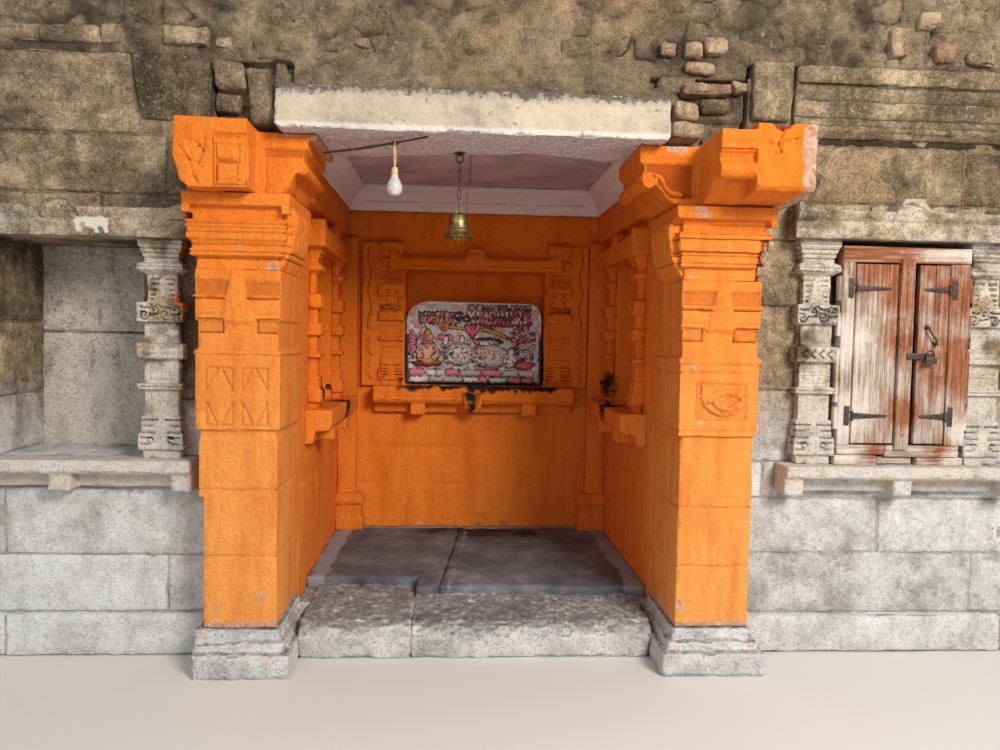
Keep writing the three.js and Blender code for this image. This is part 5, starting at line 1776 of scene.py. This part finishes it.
class SHRINE_OT_masonry(bpy.types.Operator):
    """The two bay walls, the wall over the shrine, its cornice and coping"""

    bl_idname = "shrine.masonry"
    bl_label = "Wall masonry"

    def bay(self, word, courses, hole, size):
        low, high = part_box(word + "_bay_wall")
        span = (low.x, high.x)
        stones = Stones(seed=len(word) + len(courses))
        plinth = courses[0][1]
        stones.leaf(span, low.y, LEAF, courses[:1])
        stones.leaf(span, 0.0, LEAF, courses[1:], hole)
        stones.leaf(span, LEAF, high.y, rear_courses(span, high.z))
        stones.core(span, 0.0, high.y, 0.0, BAND, hole, LEAF)
        stones.lay((low.x + 0.01, low.y + 0.008, 0), (high.x - 0.01, 0.01, plinth - 0.01), mortar=True)
        seam = 1.286 if word == "left" else 1.3  # between the two stones at the niche's back
        clear = LEAF - 0.011  # the stones at the niche's back stand just clear of the mortar
        # The niche's back stones carry a strong pale mark: peeled whitewash, and painted light that brightens
        # the niche's shaded back.
        for bottom, top, tone in ((hole[2] - 0.01, seam, 0.88), (seam + 0.006, hole[3] + 0.01, 0.75)):
            stones.lay(
                (hole[0] - 0.02, clear, bottom), (hole[1] + 0.02, LEAF + 0.1, top), tone=tone,
                pale=tone * 1.4 - 0.3,
            )
        if word == "left":
            stones.lay((-2.45, 0.0, 2.07), (-1.93, LEAF, 2.372), tone=0.35)
            big = stones.lay((-1.925, 0.0, 2.07), (-1.388, LEAF, 2.376), tone=0.6)
            dark = stones.lay((-1.383, -0.004, 2.125), (-1.074, LEAF, 2.38), tone=0.0)
            for vert in big + dark:
                if vert.co.z < 2.2 and -1.4 < vert.co.x < -1.3:
                    vert.co.x += 0.04
            stones.lay((-1.36, 0.002, 2.07), (-1.25, 0.1, 2.128), mortar=True, blush=0.35, tone=0.8)
        else:
            # Two dark blocks under the right cornice: their deep mark paints shade, full on the strip right
            # under the cornice's overhang.
            stones.lay((1.262, 0.004, 2.112), (high.x, 0.1, 2.142), tone=0.0, deep=0.9)
            stones.lay((1.998, -0.003, 1.884), (high.x, 0.1, 2.104), tone=0.0, deep=0.35)
        piece = stones.build(word + "_wall_blocks", size.arris, 0.014, wear=size.wear, chips=0.014, keep=0.28)
        settle(piece, "masonry", "wall_stone", word + "_bay_wall", looks=("wall_stone", "mortar"))

    def upper(self):
        """The mortared band over the shrine and both bays, and what is set in it."""
        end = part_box("right_bay_wall")[1].x
        low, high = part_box("middle_upper_wall")
        lintel_low, lintel_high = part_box("front_lintel")
        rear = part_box("left_pillar_shaft")[1].y
        leaf = LEAF - 0.01
        shape = bmesh.new()
        for corner, far_corner in (
            ((-end, 0, BAND - 0.01), (low.x + 0.05, leaf, high.z)),
            ((high.x - 0.05, 0, 2.425), (end, leaf, high.z)),
            ((1.28, 0.175, 2.36), (end - 0.012, leaf, 2.46)),
            ((low.x, 0, 2.36), (high.x, high.y, high.z)),
            ((low.x, 0.06, 2.29), (high.x, high.y, 2.4)),
            ((low.x, 0.03, 2.2), (high.x, rear, 2.32)),
            ((lintel_low.x + 0.02, 0, 2.202), (lintel_high.x - 0.02, rear, 2.38)),
            ((low.x, 0.06, low.z), (lintel_low.x, rear, 2.25)),
            ((lintel_high.x, 0.06, low.z), (high.x, rear, 2.25)),
        ):
            add_block(shape, corner, far_corner)
        band = skin(
            "upper_mortar", shape, 0.009, band_carving, 0.003, 0.3, seed=4,
            marks={"tone": tone_mark(0.5, 0.35, 0.4, 2), "warm": lichen},
        )
        settle(
            band, "masonry", "wall_stone", "middle_upper_wall", "left_bay_wall", "right_bay_wall",
            looks=("mortar",),
        )
        stones = Stones(seed=8)
        over_lintel(stones)
        piece = stones.build("set_stones", 0.012, 0.012, wear=0.006, chips=0.012)
        settle(piece, "masonry", "wall_stone", "middle_upper_wall")

    def execute(self, context):
        size = context.scene.shrine_stone
        self.bay("left", LEFT_COURSES, niche_hole("left"), size)
        self.bay("right", RIGHT_COURSES, niche_hole("right"), size)
        self.upper()
        stone(
            "cornice_moulding", "wall_stone", "wall_cornice", 0.007, cornice_carving, 0.003, 0.4, chips=0.012,
            marks={"tone": tone_mark(0.55, 0.3, 0.3, 4)},
        )
        stone(
            "coping_slabs", "wall_stone", "wall_coping", 0.014, coping_joints, 0.005, 0.4, chips=0.02,
            marks={"tone": tone_mark(0.5, 0.4, 0.6, 4)},
        )
        return {"FINISHED"}


def lichen(places, normals):
    """Pale yellowish lichen over the middle of the lintel and at the wall's top."""
    spots = near(
        places, (-0.06, 0, 2.5, 0.28), (0.12, 0, 2.47, 0.2), (0.5, 0, 2.62, 0.3), (0.3, 0, 2.63, 0.2),
    )
    return spots * np.clip(0.5 + rubble_lumps(places, 0.05, 3), 0, 1)


def cornice_carving(places, normals):
    work = Carving(places, normals)
    front = work.normals[:, 1] < -0.3
    drift = work.z + lumps(places, 0.12, 4) * 0.002
    for height, depth in (
        (2.346, 0.014), (2.29, 0.012), (2.262, 0.005), (2.224, 0.014), (2.19, 0.01), (2.158, 0.008),
    ):
        work.sink(front, np.abs(drift - height) - 0.003, depth, 0.007)
    for low, high in ((2.292, 2.344), (2.192, 2.222)):
        work.sink(front, np.maximum(low - drift, drift - high), 0.0048, 0.012)
    return work.shift


def coping_joints(places, normals):
    work = Carving(places, normals)
    for x in np.arange(-2.1, 2.4, 0.83):
        work.joint(work.x, x, 0.012, 0.003, 0.01)
    return work.shift


def niche_hole(side):
    """A wall niche's opening: left, right, bottom and top."""
    low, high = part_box(side + "_niche_left_pilaster")
    return high.x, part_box(side + "_niche_right_pilaster")[0].x, low.z, high.z


# A wall niche's boss: its middle, the seam that it stands on, and the height of its own middle.
BOSSES = {"left": (-1.613, 1.724, 1.728), "right": (1.711, 1.793, 1.796)}


def lintel_carving(side):
    """The rolled upper edge and the boss of a wall niche's lintel."""
    middle, seam, _ = BOSSES[side]

    def carve(places, normals):
        work = Carving(places, normals)
        front = work.face(FRONT)
        low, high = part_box(side + "_niche_lintel")
        above = work.z > seam
        boss = np.hypot(work.x - middle, work.z - seam) - 0.066
        work.sink(front & ((boss > 0) | ~above), np.abs(work.z - seam) - 0.002, 0.009, 0.006)
        work.sink(front & above, np.abs(boss - 0.005) - 0.003, 0.012, 0.005)
        roll = np.clip((work.z - seam) / 0.07, 0, 1)
        ends = np.clip((np.abs(work.x - (low.x + high.x) / 2) - (high.x - low.x) / 2 + 0.09) / 0.02, 0, 1)
        work.shift += FRONT * (front * (0.014 * np.sin(roll * math.pi) * (boss > 0) - 0.004 * ends))[:, None]
        return work.shift

    return carve


def lime_drip(places, normals):
    """Whitewash spilt over the left lintel and run down its face."""
    x, y, z = places.T
    length = 0.016 + 0.05 * np.clip(0.5 + run_lengths(x, 0.011, 4), 0, 1)
    across = np.clip((0.075 - np.abs(x + 1.488)) / 0.02, 0, 1)
    down = np.clip((z - 1.724 + length) / 0.015, 0, 1) * (z < 1.728)
    return np.maximum(across * down, near(places, (-1.62, -0.105, 1.765, 0.04)) * 0.6) * 0.8


def bleached(share):
    """A mark of patchy pale weathering, up to this share."""
    return lambda places, normals: share * np.clip(0.8 + 0.5 * rubble_lumps(places, 0.08, 2), 0, 1)


def pilaster_carving(side, place):
    def carve(places, normals):
        work = Carving(places, normals)
        low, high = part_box(f"{side}_niche_{place}_pilaster")
        middle = (low.x + high.x) / 2
        chevrons = side == "right" and place == "left"
        engrave_pilaster(work, FRONT, work.x, middle, 0.07, low.z, high.z, chevrons)
        for way in (-RIGHT, RIGHT):
            engrave_pilaster(work, way, work.y, 0.0, 0.05, low.z, high.z)
        return work.shift

    return carve


def niche_sill_carving(places, normals):
    work = Carving(places, normals)
    front = work.face(FRONT)
    work.sink(front, np.abs(work.z - 0.79) - 0.0015, 0.003, 0.003)
    return work.shift


class SHRINE_OT_wall_niches(bpy.types.Operator):
    """Sills, lintels and carved pilasters of the two wall niches"""

    bl_idname = "shrine.wall_niches"
    bl_label = "Wall niches"

    def execute(self, context):
        orange = spots_mark(
            (-1.135, -0.08, 1.74, 0.05), (-1.15, -0.03, 1.66, 0.05), (-1.16, -0.03, 1.42, 0.08),
            (-1.17, -0.03, 1.6, 0.05), (-1.13, -0.1, 1.79, 0.04),
        )
        for side, lintel_pale in (("left", 0.52), ("right", 0.62)):
            for part, carve, grid, pale, chips in (
                ("sill", niche_sill_carving, 0.005, 0.95, 0.009),
                ("lintel", lintel_carving(side), 0.005, lintel_pale, 0.005),
                ("left_pilaster", pilaster_carving(side, "left"), 0.003, 0.8, 0.009),
                ("right_pilaster", pilaster_carving(side, "right"), 0.003, 0.8, 0.009),
            ):
                node = f"{side}_niche_{part}"
                shape = cad_shape(node)
                if part == "lintel":
                    x, _, z = BOSSES[side]
                    rod(shape, (x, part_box(node)[0].y, z), (x, 0.02, z), 0.063, 32)
                marks = {
                    "tone": tone_mark(0.6, 0.3, 0.2, 6), "pale": bleached(pale), "lime": lime_drip,
                    "splash": orange,
                }
                stone(
                    node + "_stone", "wall_stone", node, grid, carve, 0.0022, 0.4, shape=shape, marks=marks,
                    chips=chips, seed=len(node),
                )
        return {"FINISHED"}


# Niche door

DOOR_FRONT = -0.074  # where the door's boards have their front, along Y
HINGES = (1.517, 1.909)  # where the two leaves' pins stand, along X
STRAPS = (1.006, 1.526)  # heights of the strap hinges


def wood_wear(places, normals):
    """Paint left on the rails, the post and the leaves' upper parts, worn off low down."""
    low = np.clip(1.0 - (places[:, 2] - 0.85) * 0.42, 0.55, 0.98)
    painted = near(
        places, (1.66, -0.08, 1.665, 0.2), (1.82, -0.08, 1.665, 0.16), (1.58, -0.07, 1.6, 0.14),
        (1.96, -0.07, 1.5, 0.2), (1.97, -0.07, 1.2, 0.25), (1.73, -0.08, 1.3, 0.15),
        (1.73, -0.08, 1.52, 0.15), (1.73, -0.08, 1.02, 0.15), (1.62, -0.07, 0.86, 0.07),
        (1.9, -0.07, 0.86, 0.09),
    )
    rail = (places[:, 2] > 1.635) * np.clip((1.95 - places[:, 0]) / 0.06, 0, 1)
    return np.clip(low - np.maximum(painted, rail) * 0.85, 0, 1)


def whitened(places, normals):
    """Old whitewash on the frame's left stile and corners."""
    return near(
        places, (1.475, -0.07, 1.3, 0.22), (1.475, -0.07, 1.0, 0.25), (1.99, -0.07, 1.67, 0.09),
        (1.99, -0.07, 0.95, 0.12), (1.5, -0.07, 0.83, 0.12), (1.95, -0.07, 0.82, 0.1),
    )


def boards(name, body, node, blocks):
    """Planks from blocks (x0, x1, z0, z1, front, back), weathered along their grain."""
    stones = Stones(seed=len(name))
    for x0, x1, z0, z1, front, back in blocks:
        stones.lay((x0, front, z0), (x1, back, z1), skew=0.0012, tone=float(x1 - x0 > z1 - z0))
    piece = stones.build(name, 0.0025, 0.012, 0.05, 0.0007, 0.003)
    places, normals = points_of(piece)
    level = get_mark(piece, "tone")[:, None] > 0.5
    fibres = places * np.where(level, np.array((0.05, 1, 1)), np.array((1, 1, 0.05)))
    move_points(piece, places - normals * (np.clip(lumps(fibres, 0.012, 4), 0, 1) * 0.0012)[:, None])
    set_mark(piece, "bare", wood_wear(places, normals))
    set_mark(piece, "pale", whitened(places, normals))
    settle(piece, body, "worn_wood", node)


def straps(shape, hinge, meet):
    """Two tapering straps rolled round their pins, with nail heads."""
    way = math.copysign(1, meet - hinge)
    length = abs(meet - hinge) * 0.82
    for z in STRAPS:
        corners = [
            (0, z - 0.013), (length, z - 0.005), (length + 0.004, z), (length, z + 0.005), (0, z + 0.013),
        ]
        plate(shape, [(hinge + way * u, v) for u, v in corners], DOOR_FRONT - 0.004, DOOR_FRONT + 0.001)
        bent_rod(shape, [(hinge, z - 0.0135), (hinge, z + 0.0135)], DOOR_FRONT - 0.005, 0.006, 16)
        for share in (0.2, 0.5, 0.85):
            ball(shape, (hinge + way * length * share, DOOR_FRONT - 0.004, z), 0.0032, (1, 0.6, 1))


class SHRINE_OT_niche_door(bpy.types.Operator):
    """The wooden frame and leaves that close the right niche, with their ironwork"""

    bl_idname = "shrine.niche_door"
    bl_label = "Niche door"

    def frame(self):
        low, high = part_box("niche_door_frame")
        front, back = DOOR_FRONT, high.y
        blocks = [
            (low.x, high.x, 1.632, high.z, front, back), (low.x, 1.511, 0.886, 1.631, front, back),
            (1.915, high.x, 0.886, 1.631, front, back), (1.698, 1.757, 0.868, 1.65, front - 0.01, back),
            (low.x, 1.66, 0.846, 0.885, front, back),
            (1.664, high.x - 0.02, 0.838, 0.885, front + 0.002, back),
            (low.x - 0.008, 1.63, low.z, 0.844, front + 0.002, back),
            (1.8, high.x, low.z, 0.836, front, back),
            (1.64, 1.79, low.z + 0.004, 0.836, front + 0.02, back),
        ]
        for bottom, top in ((1.475, 1.575), (1.33, 1.425), (1.06, 1.28), (0.95, 1.04)):
            blocks.append((low.x - 0.014, low.x + 0.006, bottom, top, front + 0.004, front + 0.03))
            blocks.append((high.x - 0.006, high.x + 0.012, bottom, top, front + 0.004, front + 0.03))
        boards("door_frame_boards", "masonry", "niche_door_frame", blocks)
        shape = bmesh.new()
        pin = front - 0.005
        for hinge, way in ((HINGES[0], -1), (HINGES[1], 1)):
            near_x, far_x = hinge + way * 0.012, hinge + way * 0.034
            left, right = sorted((hinge, near_x))
            for z in STRAPS:
                plate(shape, [(near_x, z - 0.04), (far_x, z - 0.04), (far_x, z + 0.04), (near_x, z + 0.04)],
                      front - 0.003, front + 0.001)
                for end in (-1, 1):
                    rod(shape, (hinge, pin, z + end * 0.0148), (hinge, pin, z + end * 0.0198), 0.0046)
                    ball(shape, ((near_x + far_x) / 2, front - 0.003, z + end * 0.028), 0.0032, (1, 0.6, 1))
                    lug = z + end * 0.0173
                    add_block(shape, (left, pin - 0.0022, lug - 0.0025), (right, pin + 0.0022, lug + 0.0025))
        for z in (1.59, 0.93):
            ball(shape, (1.728, front - 0.01, z), 0.004, (1, 0.5, 1))
        settle(cast("door_frame_irons", shape, 0.0008), "masonry", "dark_iron", "niche_door_frame")

    def leaves(self):
        back = DOOR_FRONT + 0.026
        foot, head = 0.893, 1.625
        boards("left_leaf_boards", "left_leaf", "niche_door_left_leaf",
               [(HINGES[0], 1.693, foot, head, DOOR_FRONT, back)])
        shape = bmesh.new()
        straps(shape, HINGES[0], 1.693)
        settle(cast("left_leaf_irons", shape, 0.0008), "left_leaf", "dark_iron", "niche_door_left_leaf")
        boards("right_leaf_boards", "right_leaf", "niche_door_right_leaf",
               [(1.782, 1.850, foot, head, DOOR_FRONT, back),
                (1.851, HINGES[1], foot, head, DOOR_FRONT + 0.001, back)])
        shape = bmesh.new()
        straps(shape, HINGES[1], 1.782)
        pull = ((1.816, 1.372), (1.826, 1.352), (1.850, 1.322), (1.855, 1.304))
        bent_rod(shape, pull, DOOR_FRONT - 0.018, 0.004)
        for x, z in (pull[0], pull[-1]):
            rod(shape, (x, DOOR_FRONT - 0.02, z), (x, DOOR_FRONT + 0.001, z), 0.0045)
            ball(shape, (x, DOOR_FRONT, z), 0.011, (1, 0.25, 1))
        face = DOOR_FRONT - 0.01
        for left, right, front, back in (
            (1.731, 1.838, face - 0.008, face - 0.003), (1.792, 1.816, face - 0.004, DOOR_FRONT + 0.001),
        ):
            plate(shape, [(left, 1.242), (right, 1.242), (right, 1.266), (left, 1.266)], front, back)
        body = [(1.80, 1.226), (1.846, 1.222), (1.848, 1.25), (1.802, 1.254)]
        plate(shape, body, face - 0.024, face - 0.007)
        loop = [(1.808, 1.25), (1.81, 1.272), (1.824, 1.278), (1.838, 1.27), (1.84, 1.248)]
        bent_rod(shape, loop, face - 0.016, 0.0032)
        settle(cast("right_leaf_irons", shape, 0.0006), "right_leaf", "dark_iron", "niche_door_right_leaf")

    def execute(self, context):
        self.frame()
        self.leaves()
        return {"FINISHED"}


# Bell and lamp


class SHRINE_OT_bell(bpy.types.Operator):
    """The hanging bell, its chain, eye and clapper"""

    bl_idname = "shrine.bell"
    bl_label = "Bell"

    def execute(self, context):
        low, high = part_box("bell")
        middle = ((low.x + high.x) / 2, (low.y + high.y) / 2)
        mouth = low.z
        outer = (
            (0.064, 0), (0.0652, 0.002), (0.064, 0.005), (0.059, 0.0085), (0.0555, 0.013), (0.0525, 0.018),
            (0.0485, 0.025), (0.0478, 0.027), (0.0485, 0.029), (0.0462, 0.031), (0.043, 0.04), (0.0405, 0.05),
            (0.0388, 0.062), (0.0378, 0.072), (0.0385, 0.0735), (0.0385, 0.0755), (0.0374, 0.077),
            (0.0362, 0.083), (0.0335, 0.09), (0.028, 0.0955), (0.02, 0.0985), (0.009, 0.1), (0.0002, 0.1),
        )
        inner = (
            (0.0002, 0.092), (0.019, 0.09), (0.029, 0.084), (0.033, 0.072), (0.036, 0.047), (0.043, 0.026),
            (0.054, 0.008), (0.0605, 0),
        )
        shape = bmesh.new()
        turned(shape, [(radius, mouth + height) for radius, height in (*outer, *inner)], middle, 64)
        bar = mouth + 0.078
        bent_rod(shape, [(middle[0] - 0.034, bar), (middle[0] + 0.034, bar)], middle[1], 0.002)
        bent_rod(shape, arc(middle[0], mouth + 0.111, 0.013, 0, 1, 24), middle[1], 0.003, 10)
        settle(cast("bell_cast", shape), "hanging_bell", "bell_brass", "bell")
        for node, body, slot in (
            ("bell_eye", "masonry", "dark_iron"), ("bell_chain", "hanging_bell", "dark_iron"),
            ("bell_clapper", "clapper", "bell_brass"),
        ):
            piece = as_object(node + "_forged", cad_shape(node))
            apply(piece, "SUBSURF", levels=1, render_levels=1)
            smooth_shading(piece)
            settle(piece, body, slot, node)
        return {"FINISHED"}


def smooth_path(points, steps):
    """A smooth curve through the points, this many steps between each two."""
    points = np.array(points, float)
    ends = np.vstack([2 * points[0] - points[1], points, 2 * points[-1] - points[-2]])
    path = []
    for a, b, c, d in zip(ends, ends[1:], ends[2:], ends[3:]):
        for t in np.arange(steps) / steps:
            bend = (2 * a - 5 * b + 4 * c - d) * t**2 + (3 * b - a - 3 * c + d) * t**3
            path.append(0.5 * (2 * b + (c - a) * t + bend))
    return np.array([*path, points[-1]])


class SHRINE_OT_lamp(bpy.types.Operator):
    """The bulb on its flex, hung from a twig"""

    bl_idname = "shrine.lamp"
    bl_label = "Lamp"

    def execute(self, context):
        low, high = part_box("lamp_bulb")
        x, y, cap = (low.x + high.x) / 2, (low.y + high.y) / 2, high.z
        shape = cad_shape("lamp_twig")
        twig = 2.019  # height of the twig where the flex goes over it
        for place, radius in (((-0.344, -0.187, twig), 0.009), ((-0.52, -0.13, 2.001), 0.0075)):
            ball(shape, place, radius, (1.4, 1, 1))
        stone("twig_bark", "twig_wood", "lamp_twig", 0.0018, None, 0.0012, 0.6, shape=shape)

        reach = 0.0106  # from the twig's middle to the flex's
        route = smooth_path([
            (x, y - 0.005, cap + 0.001), (x - 0.002, y - 0.01, 1.966), (x, y - reach, twig),
            (x, y + 0.001, twig + reach), (x, y + 0.002 + reach, twig), (x + 0.003, y + 0.01, 1.97),
            (x, y + 0.005, cap + 0.001),
        ], 16)
        pair, twists = [], 14
        for phase in (0, math.pi):
            turn = np.linspace(0, 2 * math.pi * twists, len(route)) + phase
            pair.append(route + 0.0015 * np.column_stack([np.cos(turn), np.sin(turn), 0 * turn]))
        settle(strands("flex_pair", pair, 0.0016), "masonry", "flex_plastic", "lamp_flex")

        profile = [
            (0.0002, -0.107), (0.009, -0.1062), (0.018, -0.103), (0.0245, -0.097), (0.0285, -0.088),
            (0.03, -0.078), (0.0285, -0.067), (0.0245, -0.056), (0.0195, -0.047), (0.0155, -0.04),
            (0.0135, -0.034), (0.0135, -0.03), (0.0125, -0.03), (0.0128, -0.018), (0.0122, -0.016),
            (0.0128, -0.014), (0.012, -0.003), (0.009, 0), (0.0002, 0),
        ]
        shape = bmesh.new()
        turned(shape, [(radius, cap + height) for radius, height in profile], (x, y), 40)
        bulb = cast("bulb", shape)
        second_finish(bulb, lambda middles: middles[:, 2] > cap - 0.0305)
        settle(bulb, "masonry", "lamp_glass", "lamp_bulb", looks=("lamp_glass", "flex_plastic"))
        return {"FINISHED"}


# Stage


class SHRINE_OT_stage(bpy.types.Operator):
    """Pale floor, soft studio light and the camera"""

    bl_idname = "shrine.stage"
    bl_label = "Stage"

    def area_light(self, name, place, aim, size, power, color):
        light = bpy.data.lights.new(name, "AREA")
        light.shape = "RECTANGLE"
        light.size, light.size_y = size
        light.energy = power
        light.color = color
        lamp = put(name, light)
        lamp.location = place
        lamp.rotation_euler = (Vector(aim) - Vector(place)).to_track_quat("-Z", "Y").to_euler()

    def execute(self, context):
        scene = context.scene
        shape = bmesh.new()
        bmesh.ops.create_grid(shape, x_segments=1, y_segments=1, size=30)
        floor = as_object("studio_floor", shape)
        pale = Finish("studio_floor")
        pale.color = srgb(214, 210, 204)
        floor.data.materials.append(pale.surface(0.9))

        world = bpy.data.worlds.new("studio")
        world.use_nodes = True
        background = world.node_tree.nodes["Background"]
        background.inputs["Color"].default_value = srgb(226, 230, 238)
        background.inputs["Strength"].default_value = 0.62
        scene.world = world
        self.area_light("key", (2.7, -4.8, 3.9), (-0.2, 0.3, 1.0), (1.8, 1.6), 388, (1.0, 0.95, 0.88))
        self.area_light("fill", (-3.4, -4.2, 2.2), (0, 0.4, 1.2), (3.0, 3.0), 32, (0.92, 0.95, 1.0))
        scene.view_settings.view_transform = "Standard"

        camera = bpy.data.cameras.new("photograph")
        camera.sensor_width = 36.0
        camera.lens = 27.98
        viewer = put("photograph", camera)
        yaw, pitch, roll = 0.0588, 0.0477, 0.0188  # radians to the right, down and anticlockwise
        forward = Vector((math.sin(yaw) * math.cos(pitch), math.cos(yaw) * math.cos(pitch), -math.sin(pitch)))
        across = Vector((math.cos(yaw), -math.sin(yaw), 0))
        above = across.cross(forward)
        right = math.cos(roll) * across + math.sin(roll) * above
        up = -math.sin(roll) * across + math.cos(roll) * above
        turn = Matrix((right, up, -forward)).transposed()
        viewer.matrix_world = Matrix.Translation((-0.1087, -3.154, 1.2971)) @ turn.to_4x4()
        scene.camera = viewer
        return {"FINISHED"}


class SHRINE_PT_panel(bpy.types.Panel):
    """Lists the shrine's sizes, colours and pieces"""

    bl_idname = "SHRINE_PT_panel"
    bl_label = "Painted Shrine Bay"
    bl_space_type = "VIEW_3D"
    bl_region_type = "UI"
    bl_category = "Shrine"

    def draw(self, context):
        for group in (context.scene.shrine_paint, context.scene.shrine_stone):
            box = self.layout.box()
            for key in group.bl_rna.properties.keys():
                if key not in ("rna_type", "name"):
                    box.prop(group, key)
        for operator in OPERATORS:
            self.layout.operator(operator.bl_idname)


OPERATORS = (
    SHRINE_OT_pillars, SHRINE_OT_brackets, SHRINE_OT_threshold, SHRINE_OT_lintel, SHRINE_OT_cell_walls,
    SHRINE_OT_cell_niches, SHRINE_OT_relief, SHRINE_OT_ceiling, SHRINE_OT_masonry, SHRINE_OT_wall_niches,
    SHRINE_OT_niche_door, SHRINE_OT_bell, SHRINE_OT_lamp, SHRINE_OT_stage,
)
CLASSES = (SHRINE_PG_paint, SHRINE_PG_stone, *OPERATORS, SHRINE_PT_panel)


def register():
    for each in CLASSES:
        bpy.utils.register_class(each)
    bpy.types.Scene.shrine_paint = PointerProperty(type=SHRINE_PG_paint)
    bpy.types.Scene.shrine_stone = PointerProperty(type=SHRINE_PG_stone)


def unregister():
    del bpy.types.Scene.shrine_stone
    del bpy.types.Scene.shrine_paint
    for each in reversed(CLASSES):
        bpy.utils.unregister_class(each)


def main():
    register()
    for operator in OPERATORS:
        group, name = operator.bl_idname.split(".")
        getattr(getattr(bpy.ops, group), name)()


if __name__ == "__main__":
    main()
